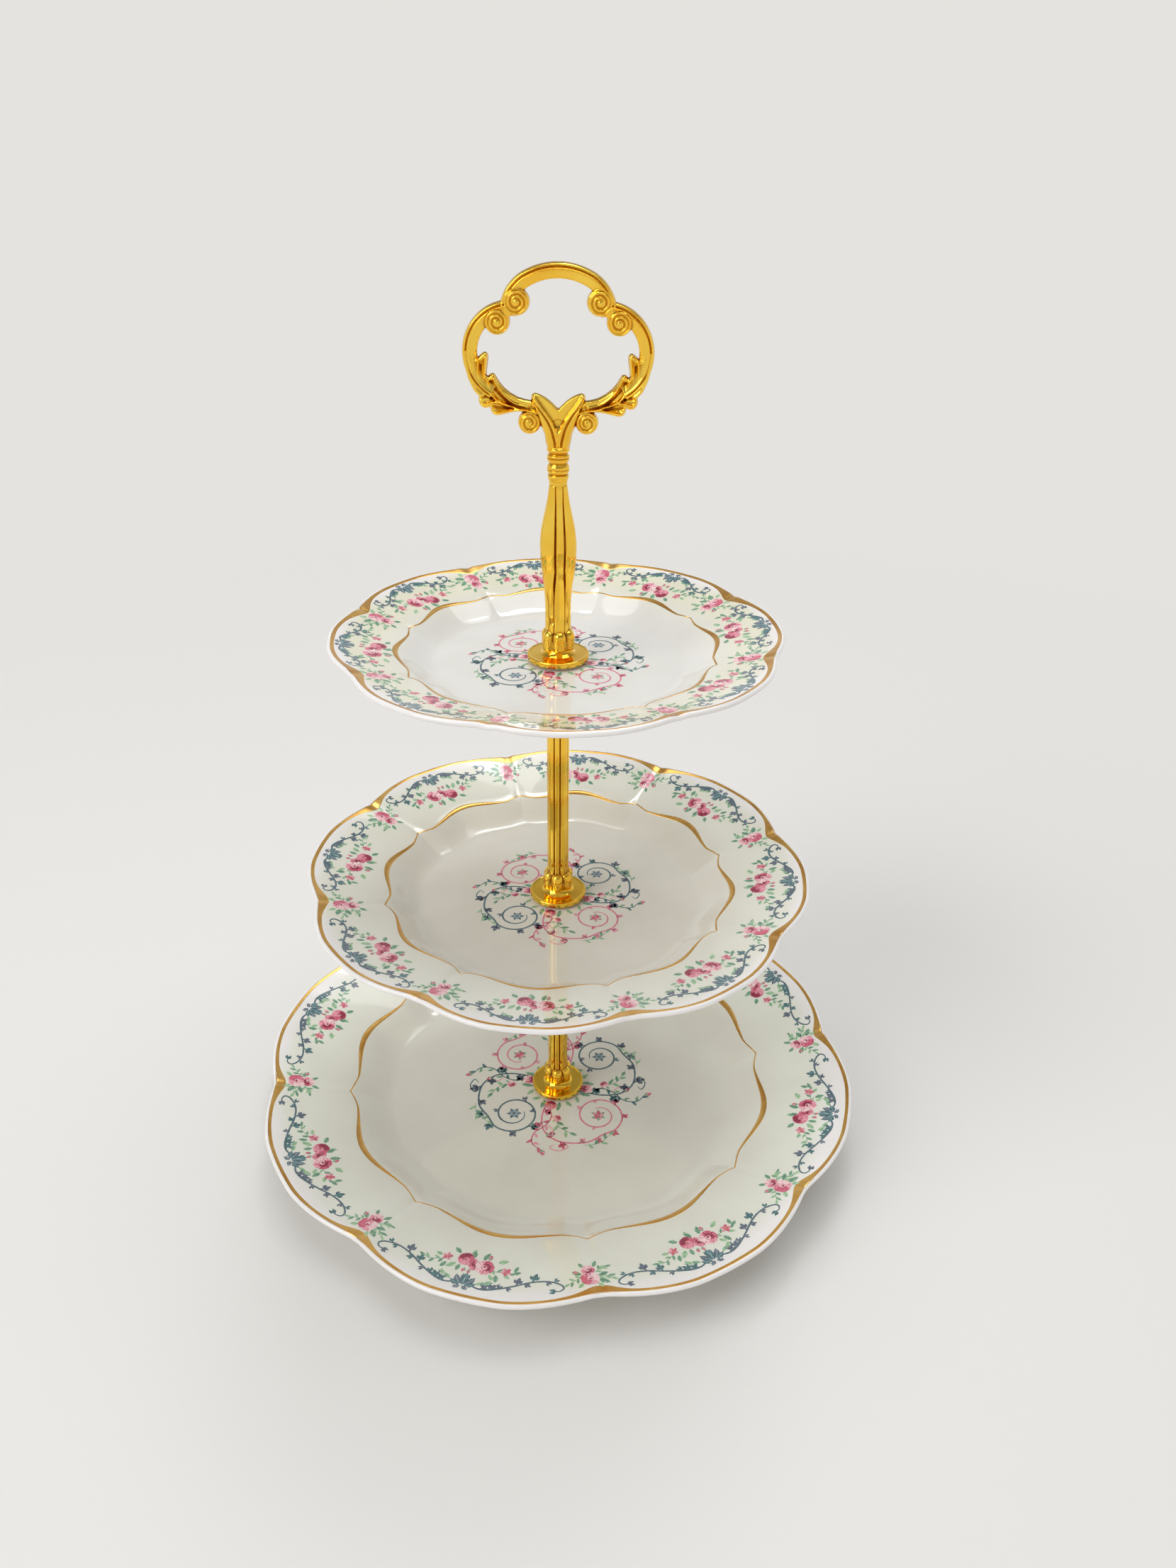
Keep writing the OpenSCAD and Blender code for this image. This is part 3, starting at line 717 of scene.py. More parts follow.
def medallion_design(reach, seed):
    """A wreath of its own: scrolls that curl inwards, teal and pink by turns, and sprays between them."""
    d = Print(seed)
    k = reach / 38
    rim = FLANGE_R / k
    for turn in range(4):
        base = 90 * turn + 32
        warm = turn % 2 == 1
        stem_inks = ("rose", "pink") if warm else ("slate", "teal")
        spray_inks = ("teal", "leaf") if warm else ("rose", "pink")

        def at(radius, degrees):
            return polar(radius * k, base + degrees)

        def path(*points):
            return [at(*p) for p in points]

        eye = at(25.5, 12)
        curl = [polar((11.2 - 0.43 * i) * k, base - 22 + i * 34, *eye) for i in range(17)]
        d.scroll(path((rim - 1.5, -56), (17, -52), (23, -48), (29, -41), (33.6, -29), (36, -12)) + curl,
                 0.62 * k + 0.16, WREATH_TUFTS, 1, (0.8 if warm else 1) * (0.35 + 0.65 * k), stem_inks)
        d.stroke(path((33.6, -29), (36.6, -24), (38.6, -30), (37, -36), (35, -33)), 0.5 * k, stem_inks[1], 1)
        for a in range(30, 390, 60):
            d.leaf(*eye, a + base, 3.4 * k, 1.3 * k, "leaf" if warm else "slate", 2)
        if warm:
            d.floret(*eye, 2.3 * k + 0.3)
        else:
            for a in range(0, 360, 60):
                d.leaf(*eye, a + base, 2.6 * k, 1.1 * k, "haze", 3)
            d.oval(*eye, 0.8 * k, 0.7 * k, 0, "slate", 4)
        d.sprig(path((19, -32), (25, -30), (29.5, -20)), 6, 3.6 * k)
        d.sprig(path((37.4, -14), (38.6, -4), (37, 6)), 5, 3.2 * k)
        line = d.stroke(path((14.5, 46), (20, 51), (25, 47), (30.5, 40), (36, 42), (38.5, 49)), 0.4 * k + 0.1,
                        spray_inks[0], 1)
        for i in range(9):
            n = int((i + 0.7) / 9.2 * (len(line) - 1))
            along = heading(line, n + 1) + (50 if i % 2 else -50)
            d.leaf(*line[n], along, 3.2 * k, 1.3 * k, spray_inks[i % 2], 1, bend=0.12)
        d.bud(*at(38.5, 49), base + 75, 3.4 * k, 2)
        d.bud(*at(29.6, 50), base + 96, 3.0 * k, 2)
        d.stroke(path((24, 47), (26.5, 54), (30, 56), (31, 51), (28.8, 50.5)), 0.4 * k + 0.05, "pink", 1)
        d.rose(*at(20.5, 58), 2.0 * k, base, 3)
        for a, aside, size in ((16, -34, 3.2), (29, 10, 4.4), (64, -18, 4.6), (77, 24, 3.4)):
            ink = "sprig" if size < 4 else "leaf"
            d.leaf(*at(rim, a), base + a + aside, size * k + 0.8, 2.0 * k, ink, 3, "teal")
        d.rose(*at(rim + 2.1, 46), 2.5 * k + 0.2, base + 46, 4, dark=not warm)
    return d


def print_plate(plate, depth, push, slip, bold, fine, drop, reach, seed):
    """Fires both designs onto a plate: the border eight times, pushed out and slipped round, and the wreath."""
    mean_r = 0.9 * plate.radius
    design = border_design(pi * mean_r / LOBES, depth, bold, fine, drop, seed)
    verts, faces, inks = [], [], []
    for k in range(LOBES):
        centre = radians(plate.turn + LOBE * (k + 0.5)) - slip / mean_r

        def place(flat):
            angle = centre - flat[:, 0] / mean_r
            r = plate.radius + push + flat[:, 1]
            return np.stack([r * np.cos(angle), r * np.sin(angle), plate.top(r, angle)], 1)

        v, f, i = design.solid(place)
        faces += [[n + len(verts) for n in face] for face in f]
        verts += v
        inks += i

    def place_flat(flat):
        x, y = flat.T
        return np.stack([x, y, plate.top(np.hypot(x, y), np.arctan2(y, x))], 1)

    wreath = medallion_design(reach, seed + 1).solid(place_flat)
    for name, (v, f, i) in (("_border_print", (verts, faces, inks)), ("_wreath_print", wreath)):
        to_object(plate.node + name, v, f, ink_materials, plate.body, i, sharp=30)


print_plate(top_plate, depth=5.4, push=2.2, slip=-1.6, bold=0.8, fine=0.74, drop=2.6, reach=30, seed=31)
print_plate(middle_plate, depth=6.2, push=0.8, slip=-2.6, bold=0.85, fine=0.82, drop=2.0, reach=32, seed=47)
print_plate(bottom_plate, depth=7.2, push=-0.2, slip=2.5, bold=0.85, fine=0.95, drop=0, reach=38, seed=59)


# --------------------------------------------------------------------- hardware
FRONT = -pi / 2         # the castings' patterns are laid out from this side
FLANGE_T = 2.0
PETAL_LOW = 4.6         # the collar's petals are at their widest from this height
PETAL_TOP = 8.4         # to this one
COLLAR_TOP = 11.4
HOLE_R = 2.55           # the tapped holes
TAP = 12.0
PITCH = 0.8             # of the bolt's and the studs' threads
THREAD_T = 0.42


def off(angles, centre, period):
    """Angle from the nearest of several equally spaced directions, in degrees."""
    return wrapped(np.degrees(angles - centre), period)


def circle_reach(delta, centre, radius):
    """How far out a circle, whose centre is off the axis, reaches at an angle in degrees from it."""
    d = np.radians(delta)
    inside = radius ** 2 - (centre * np.sin(d)) ** 2
    return np.where(inside > 0, centre * np.cos(d) + np.sqrt(np.maximum(inside, 0)), 0)


def collar(angles, h):
    """Six petals, rounded at both ends, with small tips between them, on a flared foot."""
    delta = off(angles, FRONT, 60)
    above = np.clip(h - PETAL_TOP, 0, 2.749) / 2.75
    below = np.clip(PETAL_LOW - h, 0, 1.349) / 1.35
    petal = circle_reach(delta, 3.55, 2.5 * np.sqrt(1 - above ** 2 - below ** 2))
    arc = np.radians(np.abs(delta)) * 5.5
    vein = bump(arc - 0.16 * (h - 3.2), 0.16) * smooth(h - 4.6) * smooth((7.6 - h) / 1.5)
    vein = vein + 0.8 * bump(arc, 0.16) * smooth(h - 5.6) * smooth(10 - h)
    brow = 0.16 * bump(h - PETAL_TOP - 0.1, 0.35) * smooth((1.9 - arc) / 0.6)
    petal = np.where(petal > 0, petal - 0.17 * vein + brow, 0)
    if PETAL_LOW - 0.6 < h < 8.2:
        tip = 0.95 * np.sqrt(1 - np.clip((h - 6.6) / 1.6, 0, 1) ** 2)
        petal = np.maximum(petal, circle_reach(off(angles, FRONT + pi / 6, 60), 4.25, tip))
    if h < PETAL_LOW + 1:
        petal = np.maximum(petal, 4.2 + 2.0 * np.clip(1 - (h - FLANGE_T) / 2.6, 0, 1) ** 2.2)
    return petal


def teardrops(angles, h, away):
    """Small drop-shaped gouges above the collar, on both sides of each ridge."""
    arc = np.radians(np.abs(off(angles, FRONT, 90)) - away) * 4.1
    return -0.8 * bump(arc, 0.62 - 0.14 * np.clip(h, -1.5, 1.5)) * bump(h, 1.15)


def rod_r(angles, h):
    """Cast rod: four wide lobes with a narrow ridge between each pair."""
    ridge = circle_reach(off(angles, FRONT, 90), 2.3, 1.8)
    lobe = circle_reach(off(angles, FRONT + pi / 4, 90), 1.5, 2.6)
    groove = 0.42 * bump(np.abs(off(angles, FRONT, 90)) - 17.2, 3.4)
    return np.maximum(ridge, lobe) - groove + teardrops(angles, h - COLLAR_TOP - 3.0, 26)


def through(x, points):
    """Smooth curve through (x, y) points, without overshoot at flat stretches."""
    xs, ys = np.array(points, float).T
    slope = np.diff(ys) / np.diff(xs)
    before, after = slope[:-1], slope[1:]
    both = np.where(before + after == 0, 1, before + after)
    tangent = np.zeros(len(xs))
    tangent[1:-1] = np.where(before * after > 0, 2 * before * after / both, 0)
    x = np.clip(x, xs[0], xs[-1])
    i = np.clip(np.searchsorted(xs, x) - 1, 0, len(xs) - 2)
    h = xs[i + 1] - xs[i]
    t = (x - xs[i]) / h
    return ((2 * t ** 3 - 3 * t ** 2 + 1) * ys[i] + (t ** 3 - 2 * t ** 2 + t) * h * tangent[i]
            + (3 * t ** 2 - 2 * t ** 3) * ys[i + 1] + (t ** 3 - t ** 2) * h * tangent[i + 1])


# The stem's profiles over its height: radius of the lobes and of the grooved column under them, half the
# width of a ridge in degrees, depth of the grooves, and the turned knop above.
SWELL = [(0, 4.1), (18, 4.15), (22.9, 4.6), (30, 5.6), (36, 6.25), (41.4, 6.4), (46, 6), (51, 5), (56, 3.95),
         (60, 3.3), (62.4, 3), (80, 3)]
COLUMN = [(0, 4.1), (20, 4.15), (26, 4.5), (32, 5.2), (36, 5.75), (41.4, 6.05), (46, 5.7), (51, 4.8),
          (56, 3.8), (60, 3.25), (62.4, 3), (80, 3)]
RIDGE_HALF = [(0, 28), (20, 28), (27, 23), (34, 18), (45, 17), (55, 20), (62, 25), (80, 25)]
GROOVE = [(0, 0.4), (20, 0.45), (30, 0.5), (38, 0.62), (48, 0.62), (56, 0.5), (62, 0.35), (80, 0.2)]
KNOP = [(61.8, 3), (63, 3.1), (64.5, 3.5), (65, 3.54), (65.4, 3.1), (65.8, 3.35), (66.3, 3.64), (66.75, 3.66),
        (66.95, 3.36), (67.15, 3.66), (67.7, 3.64), (68.5, 3.3), (68.95, 2.95), (69.4, 3.3), (70.1, 3.64),
        (70.5, 3.66), (70.7, 3.36), (70.9, 3.66), (71.5, 3.62), (72.1, 3.05), (72.6, 3.4), (73.1, 3.75),
        (73.6, 3.7), (74.1, 3.3), (74.4, 3)]


def stem_r(angles, h):
    """The handle's stem: a foot like the rods', a lobed swelling, and a narrow neck."""
    column, half = through(h, COLUMN), through(h, RIDGE_HALF)
    ridge = np.abs(off(angles, FRONT, 90))
    lobe = np.abs(off(angles, FRONT + pi / 4, 90))
    reach = (45 - half) * np.sqrt(np.clip((h - 20.5) / 13, 0, 1))
    inside = 1 / (1 + np.exp(-(reach - lobe) / 1.3))
    r = column + (through(h, SWELL) - column + 0.12) * inside
    r = r - through(h, GROOVE) * bump(ridge - half, 3.4) + 0.18 * bump(ridge, 9) * smooth((60 - h) / 20)
    arch = 28 * np.sqrt(np.clip((33 - h) / 9, 0, 1))
    r = r + 0.22 / (1 + np.exp(-(arch - ridge) / 1.1)) * smooth((33 - h) / 3) * smooth((h - 8) / 4)
    r = r + teardrops(angles, h - COLLAR_TOP - 3.2, 36)
    return np.where(h > KNOP[0][0], through(h, KNOP), r)


def box_mean(values, reach, axis, wrap=False):
    """Mean over a window along one axis."""
    pad = [(0, 0), (0, 0)]
    pad[axis] = (reach + 1, reach)
    total = np.cumsum(np.pad(values, pad, mode="wrap" if wrap else "edge"), axis=axis)
    n = values.shape[axis]
    high = np.take(total, range(2 * reach + 1, 2 * reach + 1 + n), axis=axis)
    return (high - np.take(total, range(0, n), axis=axis)) / (2 * reach + 1)


FLANGE = [(6, 0), (9.5, 0), (10.55, 0), (10.85, 0.12), (FLANGE_R, 0.3), (FLANGE_R, 1), (FLANGE_R, 1.6),
          (10.93, 1.8), (10.75, 1.96), (10.5, 2), (10.3, 1.95), (10.1, 1.87), (9.7, 1.86), (8.6, 1.88),
          (7.4, 1.92), (6.6, 1.95)]


def turned(name, z, top, shape, bore, body, coarse, fine, turn):
    """A rod with its flange and collar; shape gives its radius over angle and height.

    coarse and fine are the rows' steps up the middle and at the top, and turn is in degrees.
    """
    angles = around(288)

    def outer(h):
        r = shape(angles - radians(turn), h)
        return np.maximum(r, collar(angles - radians(turn), h)) if h < COLLAR_TOP else r

    rows = [(HOLE_R, TAP), (HOLE_R, 0.6), (HOLE_R + 0.5, 0), *FLANGE]
    (r, h), first = FLANGE[-1], outer(FLANGE_T)
    rows += [((1 - t) * r + t * first, h + 0.04 * t) for t in (0.5, 0.85)]
    edges = [(FLANGE_T, 0.13), (12.4, 0.2), (17, coarse), (61.8, fine), (top - 0.35, None)]
    heights = np.concatenate([np.arange(a, b, step) for (a, step), (b, _) in zip(edges, edges[1:])])
    seen = np.array([outer(h) for h in heights])
    plain = slice(len(rows), len(rows) + len(heights))
    last = outer(top - 0.3)
    rows += [*zip(seen, heights), (last, top - 0.3), (last - 0.1, top - 0.08), (last - 0.35, top)]
    rows += [(HOLE_R, top), (HOLE_R, top - bore)] if bore else [(0.5, top)]
    # Painted shade: how far each point lies below the mean of its neighbours, round and along the rod, darkens
    # the gilt there.
    deep = np.maximum(box_mean(seen, 11, 1, wrap=True), box_mean(seen, 6, 0)) - seen
    painted_recess_shade = np.zeros((len(rows), len(angles)))
    painted_recess_shade[plain] = np.clip(deep / 0.4, 0, 1) * smooth((heights - PETAL_LOW + 1) / 0.8)[:, None]
    verts, faces = lathe(rows, angles, z)
    return to_object(name, verts, faces, [gilt], body, sharp=50, painted_recess_shade=painted_recess_shade.ravel())


def line_distance(x, z, points):
    """Distance to the nearest part of a bent line."""
    away = []
    for (ax, az), (bx, bz) in zip(points, points[1:]):
        dx, dz = bx - ax, bz - az
        t = np.clip(((x - ax) * dx + (z - az) * dz) / (dx * dx + dz * dz), 0, 1)
        away.append(np.hypot(x - ax - t * dx, z - az - t * dz))
    return np.minimum.reduce(away)


def inside_distance(x, z, points):
    """Distance to a closed outline, positive inside it."""
    loop = points + points[:1]
    away = line_distance(x, z, loop)
    odd = np.zeros(away.shape, bool)
    for (ax, az), (bx, bz) in zip(loop, loop[1:]):
        if az != bz:
            odd ^= ((az > z) != (bz > z)) & (x < (bx - ax) * (z - az) / (bz - az) + ax)
    return np.where(odd, away, -away)


def rounded(points):
    """Cuts the corners of an open line twice; its first and last points stay."""
    cut = 0.22
    for _ in range(2):
        new = [points[0]]
        for (ax, az), (bx, bz) in zip(points, points[1:]):
            new += [((1 - t) * ax + t * bx, (1 - t) * az + t * bz) for t in (cut, 1 - cut)]
        points = new + [points[-1]]
    return points


def blend_max(a, b, k):
    """The greater of two values, with a smooth join."""
    h = np.clip(0.5 + 0.5 * (a - b) / k, 0, 1)
    return b + (a - b) * h + k * h * (1 - h)


# Half the ring's thickness against the distance from an edge inwards.
OUT = -2.2              # well outside the ring
BAND = [(-0.7, OUT), (0, 0.1), (0.18, 1.1), (0.45, 1.75), (0.75, 1.95), (1, 1.78), (1.2, 1.42), (1.42, 1.8),
        (1.68, 2.32), (1.95, 2.4), (2.25, 2.1), (4.3, 1.2), (4.65, 0.8), (4.85, 0), (5.5, OUT)]
LEAF_EDGE = [(-0.7, OUT), (0, 0.1), (0.25, 1.1), (0.55, 1.75), (0.9, 1.9), (1.3, 1.72), (2, 1.35), (3.5, 1.2)]
CALYX_EDGE = [(-0.6, OUT), (0, 0.4), (0.3, 1.5), (0.7, 2.35), (1.3, 2.95), (2.4, 3.5)]
VOLUTE_EDGE = [(-0.7, -2.4), (0, 0.2), (0.2, 1.5), (0.45, 2.2), (0.8, 2.5), (1.2, 2.6), (5, 2.95)]
# Outlines on the ring's face, from the axis and the flange's underside, and lines with their height and width.
LEAF = [(0, 75), (4, 75), (4.6, 79), (6.2, 83.9), (9, 85), (12.5, 85.1), (15, 84.75), (17, 84.25),
        (18.6, 83.9), (19.9, 83.8), (21, 84.3), (21.7, 85.4), (21.75, 86.4), (22.5, 86.15), (23.6, 86.05),
        (24.6, 86.5), (25.3, 87.5), (25.5, 88.5), (25.3, 89.7), (27, 91.5), (28.6, 95), (29.6, 99),
        (29.9, 103), (28, 106), (26.4, 103.2), (26, 101.7), (25.2, 101.8), (24.3, 102.6), (23.4, 103.2),
        (22.5, 103.2), (22, 102.5), (21.95, 101.2), (22.25, 99.3), (22.5, 97.6), (22.55, 96.2), (22.1, 96.1),
        (21.6, 96.6), (20.9, 96.95), (20.1, 96.7), (19.5, 95.7), (18.5, 94.1), (17, 92.4), (15, 90.85),
        (12.6, 89.6), (10.4, 89), (8.4, 88.7), (6, 87.6), (3, 86.6), (0, 86.4)]
LEAF_LINES = [
    ([(6, 84.6), (10, 86), (13.6, 86.6), (17.7, 87.9), (19.6, 89), (21.5, 90.6), (23.8, 92.9), (25.2, 95),
      (25.5, 98), (25.1, 100.6)], 0.8, 0.45),
    ([(9.6, 86.9), (13.2, 87.6), (15.9, 89.2), (18, 91.4), (19.2, 93.2), (20.3, 95.2)], 0.75, 0.42),
    ([(19.6, 89), (21.6, 92), (22.9, 95.6), (23.1, 99), (22.7, 101.6)], 0.6, 0.42),
    ([(15.5, 87.2), (18.6, 88), (21, 88.2), (23.9, 87.3)], 0.65, 0.4),
    ([(11, 85.9), (14.6, 85.85), (17.4, 85.2), (20, 84.8)], 0.6, 0.45),
    ([(20.6, 86.9), (19, 86.4), (16.6, 86.5), (14.4, 86.3)], -0.55, 0.35),
    ([(9, 86.1), (11.6, 86.5), (13.9, 87), (16.4, 88.5), (18.6, 90.4), (20.4, 92.6), (21.4, 94.6)], -0.6, 0.3),
    ([(20.4, 88.7), (22.6, 90), (24.6, 89.4)], -0.5, 0.3),
    ([(21.4, 89.3), (23.4, 91.4), (24.5, 94.6), (24.4, 99.4)], -0.45, 0.3),
    ([(26.4, 94), (27.4, 97.6), (27.6, 102)], -0.4, 0.4)]
CALYX = [(-6, 73), (3.6, 73), (3.7, 75), (4.05, 77), (4.75, 79), (5.65, 81), (6.4, 83), (7.3, 85.4),
         (8.3, 87.9), (8.7, 89.4), (8.45, 90.5), (7.5, 91), (6, 90.6), (4.2, 89.7), (2.5, 88.5), (1.1, 87.2),
         (0, 86.1), (-6, 86.1)]
CALYX_RIDGE = [(73, 0), (75.5, 0.1), (77.2, 0.45), (79.75, 1.15), (82.3, 2.3), (84.65, 3.85), (86.95, 5.65),
               (89.5, 7.5), (91, 8.5)]
CALYX_FOLD = [(-4, -1.7), (-2.6, -0.95), (-1.5, -0.5), (-1.2, -0.5), (-0.8, -0.95), (-0.35, -0.2), (0, 0),
              (0.35, -0.3), (0.75, -1.15), (1.6, -1.3), (3, -1.45), (6, -1.6)]
CALYX_BODY = [(73, 3.4), (80, 3.35), (85, 3.2), (89.5, 2.8), (92, 2.5)]
# Each volute's centre, radius, turn, and start of its winding line.
VOLUTES = [(12.9, 118.1, 4.15, 1, 0.45), (19, 112.3, 4.05, -1, 0.1), (9.2, 82, 3.75, -1, 0.3)]


def table(x, points):
    return np.interp(x, *zip(*points))


def ring_relief(x, h):
    """Half the ring's thickness over its face; outside the ring it is below zero."""
    x = np.abs(x)

    def seen_from(cx, ch):
        """Distance from a centre, and the angle from straight up."""
        return np.hypot(x - cx, h - ch), np.degrees(np.arctan2(x - cx, h - ch))

    crown, crown_turn = seen_from(0, 106.5)
    shoulder, shoulder_turn = seen_from(4.15, 114.3)
    side, side_turn = seen_from(14.6, 103.0)
    top = table(np.where(crown_turn < 28.1, 23 - crown, 14.2 - shoulder), BAND)
    top = np.where((shoulder_turn < 92) & (h > 108) & (crown_turn < 90), top, OUT)
    flank = np.where((side_turn > -8) & (side_turn < 152), table(15.6 - side, BAND), OUT)
    relief_h = blend_max(top, flank, 0.25)

    d = inside_distance(x, h, LEAF)
    leaves = through(d, LEAF_EDGE)
    for points, height, width in LEAF_LINES:
        leaves = leaves + height * bump(line_distance(x, h, rounded(points)), width) * smooth(d / 0.5)
    relief_h = blend_max(relief_h, leaves, 0.25)

    d = inside_distance(x, h, CALYX)
    within = 0.8 * (through(h, CALYX_RIDGE) - x)
    fold = through(within, CALYX_FOLD) * np.where(within > 0, smooth((h - 75.5) / 6), 1)
    lap = smooth((83.5 - 0.3 * x - h) / 0.3) * smooth((h - 79.6) / 1.5) * smooth((within - 0.4) / 0.3)
    keel = bump(x, 0.7) * smooth((h - 75.4) / 1.2) * smooth((82.4 - h) / 3)
    body = through(h, CALYX_BODY) + fold - 0.3 * lap + 0.5 * keel
    body = -blend_max(-body, -through(d, CALYX_EDGE), 0.3)
    share = smooth(d / 0.7)
    relief_h = (1 - share) * blend_max(relief_h, body, 0.15) + share * body

    for cx, ch, size, spin, start in VOLUTES:
        rho = np.hypot(x - cx, h - ch)
        phase = wrapped(rho / 1.3 - spin * np.arctan2(h - ch, x - cx) / TAU - start, 1) * 1.3
        wind = bump(phase, 0.3) * smooth((rho - 0.75) / 0.3) * smooth((size - 0.25 - rho) / 0.4)
        disc = table(size - rho, VOLUTE_EDGE) - 0.5 * wind + 0.25 * bump(rho, 0.5)
        relief_h = np.where(rho < size - 0.35, disc, blend_max(relief_h, disc, 0.2))
    web = table(1.9 - np.hypot(x - 15.95, h - 115.2), VOLUTE_EDGE) * 0.85
    return blend_max(relief_h, web, 0.3)


def surface_net(field, origin, step):
    """Mesh of the surface on which a field on a box grid is zero."""
    inside = field > 0
    cells = tuple(n - 1 for n in field.shape)
    total, count = np.zeros(cells + (3,)), np.zeros(cells)
    found = []
    for axis in range(3):
        low = tuple(slice(0, -1) if k == axis else slice(None) for k in range(3))
        high = tuple(slice(1, None) if k == axis else slice(None) for k in range(3))
        crossing = inside[low] != inside[high]
        at = np.argwhere(crossing)
        a, b = field[low][crossing], field[high][crossing]
        place = at.astype(float)
        place[:, axis] += a / (a - b)
        beside = []
        for dp, dq in ((0, 0), (-1, 0), (-1, -1), (0, -1)):
            cell = at.copy()
            cell[:, (axis + 1) % 3] += dp
            cell[:, (axis + 2) % 3] += dq
            beside.append(cell)
            np.add.at(total, tuple(cell.T), place)
            np.add.at(count, tuple(cell.T), 1)
        found.append((np.stack(beside, 1), inside[low][crossing]))
    used = count > 0
    index = np.full(cells, -1)
    index[used] = np.arange(used.sum())
    verts = total[used] / count[used][:, None] * step + np.array(origin)
    faces = []
    for beside, out in found:
        quad = index[tuple(np.moveaxis(beside, -1, 0))]
        quad[~out] = quad[~out][:, ::-1]
        faces.append(quad)
    return verts, np.concatenate(faces)


def relaxed(verts, faces):
    """Evens a mesh by moving each point, twice, half way to the mean of its neighbours."""
    pairs = np.concatenate([faces[:, [k, (k + 1) % 4]] for k in range(4)])
    for _ in range(2):
        total, count = np.zeros_like(verts), np.zeros(len(verts))
        np.add.at(total, pairs[:, 0], verts[pairs[:, 1]])
        np.add.at(count, pairs[:, 0], 1)
        verts = verts + 0.5 * (total / count[:, None] - verts)
    return verts


def extent(node):
    """Bottom, height and radius of a CAD node, in millimetres."""
    lo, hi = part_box(node)
    return lo.z / MM, (hi.z - lo.z) / MM, (hi.x - lo.x) / MM / 2


HANDLE_Z, HANDLE_H, _ = extent("handle")
RING_FROM = 73.4        # the ring's lower end, hidden in the stem


def build_ring():
    """The cast ring: a surface round its relief, with the faces set exactly on it."""
    step = 0.17
    x = np.arange(-31, 31.01, step)
    y = np.arange(-4.25, 4.26, step)
    h = np.arange(72.6, 130.6, step)
    half = ring_relief(x[:, None], h[None, :])
    field = np.minimum(half[:, None, :] - np.abs(y)[None, :, None], (h - RING_FROM)[None, None, :])
    verts, faces = surface_net(field, (x[0], y[0], h[0] + HANDLE_Z), step)
    verts = relaxed(verts, faces)
    verts[:, 2] = np.minimum(verts[:, 2], HANDLE_Z + HANDLE_H - 0.02)
    i = np.clip(np.rint((verts[:, 0] - x[0]) / step).astype(int), 0, len(x) - 1)
    k = np.clip(np.rint((verts[:, 2] - HANDLE_Z - h[0]) / step).astype(int), 0, len(h) - 1)
    steep = np.hypot(*np.gradient(half, step))[i, k]
    exact, side = ring_relief(verts[:, 0], verts[:, 2] - HANDLE_Z), np.abs(verts[:, 1])
    share = smooth((2.4 - steep) / 1.2) * (np.abs(exact - side) < 0.4)
    verts[:, 1] = np.sign(verts[:, 1]) * ((1 - share) * side + share * exact)
    # Painted shade: how far the relief lies below its mean nearby darkens the gilt there.
    solid = np.maximum(half, 0)
    deep = box_mean(box_mean(solid, 5, 0), 5, 1) - solid
    return to_object("handle_ring", verts, faces.tolist(), [gilt], "carry_handle",
                     painted_recess_shade=np.clip(deep[i, k] / 0.55, 0, 1))


stem = turned("handle_stem", HANDLE_Z, 74.4, stem_r, 0, "carry_handle", coarse=0.34, fine=0.1, turn=8)
ring = build_ring()
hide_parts("handle")
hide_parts("handle")
for part in ("upper", "lower"):
    z, height, _ = extent(part + "_rod")
    rod = turned(part + "_rod_cast", z, height, rod_r, 14.0, part + "_column", coarse=1.5, fine=1.5, turn=-4)
    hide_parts(part + "_rod")


def thread(angles, start, length, radius):
    """Rows of a rolled thread up to its end, chamfered at both ends."""
    rows = []
    for h in np.arange(start, length - 0.04, 0.1):
        turn = wrapped(h / PITCH - angles / TAU, 1)
        r = radius - THREAD_T + THREAD_T * np.clip(2.4 * (0.5 - np.abs(turn)) - 0.1, 0, 1)
        rows.append((np.minimum(r, radius - 0.75 + min(h, length - h)), h))
    return rows + [(rows[-1][0] - 0.3, length)]


for part in ("upper", "lower"):
    z, length, radius = extent(part + "_stud")
    angles = around(48)
    rows = thread(angles, 0.05, length, radius)
    verts, faces = lathe([(rows[0][0] - 0.3, 0)] + rows, angles, z)
    stud = to_object(part + "_threaded_stud", verts, faces, [steel], part + "_column", sharp=55)
    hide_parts(part + "_stud")


def bolt():
    """The slotted bolt under the bottom plate, head down."""
    z, length, head_r = extent("bottom_bolt")
    head_t, radius, slot_half, slot_deep = 2.0, 2.5, 0.8, 1.0
    angles = around(96)
    rows = [(0.3, 0), (head_r - 0.7, 0), (head_r - 0.25, 0.12), (head_r, 0.5), (head_r, head_t - 0.2),
            (head_r - 0.15, head_t), (radius + 0.4, head_t)]
    verts, faces = lathe(rows + thread(angles, head_t, length, radius), angles, z)
    piece = to_object("slotted_bolt", verts, faces, [steel], "bolt", sharp=55)
    corners = [(x * (head_r + 1) * MM, y * slot_half * MM, (z + h) * MM)
               for h in (-1, slot_deep) for y in (-1, 1) for x in (-1, 1)]
    sides = [(0, 2, 3, 1), (4, 5, 7, 6), (0, 1, 5, 4), (2, 6, 7, 3), (0, 4, 6, 2), (1, 3, 7, 5)]
    cutter = bpy.data.meshes.new("slot_cutter")
    cutter.from_pydata(corners, [], sides)
    tool = placed("slot_cutter", cutter)
    cut = piece.modifiers.new("slot", "BOOLEAN")
    cut.operation, cut.object, cut.solver = "DIFFERENCE", tool, "EXACT"
    done = bpy.data.meshes.new_from_object(piece.evaluated_get(bpy.context.evaluated_depsgraph_get()))
    piece.modifiers.clear()
    piece.data = done
    bpy.data.objects.remove(tool)
    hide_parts("bottom_bolt")


bolt()
for node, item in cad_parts.items():
    if "washer" in node or "cushion" in node:
        item.data.materials.clear()
        item.data.materials.append(rubber if "cushion" in node else gilt)


# ------------------------------------------------------------------------ stage
PALE = srgb(229, 227, 223)
FLOOR_RINGS = (0.0001, 0.4, 1, 2, 4, 6)     # metres


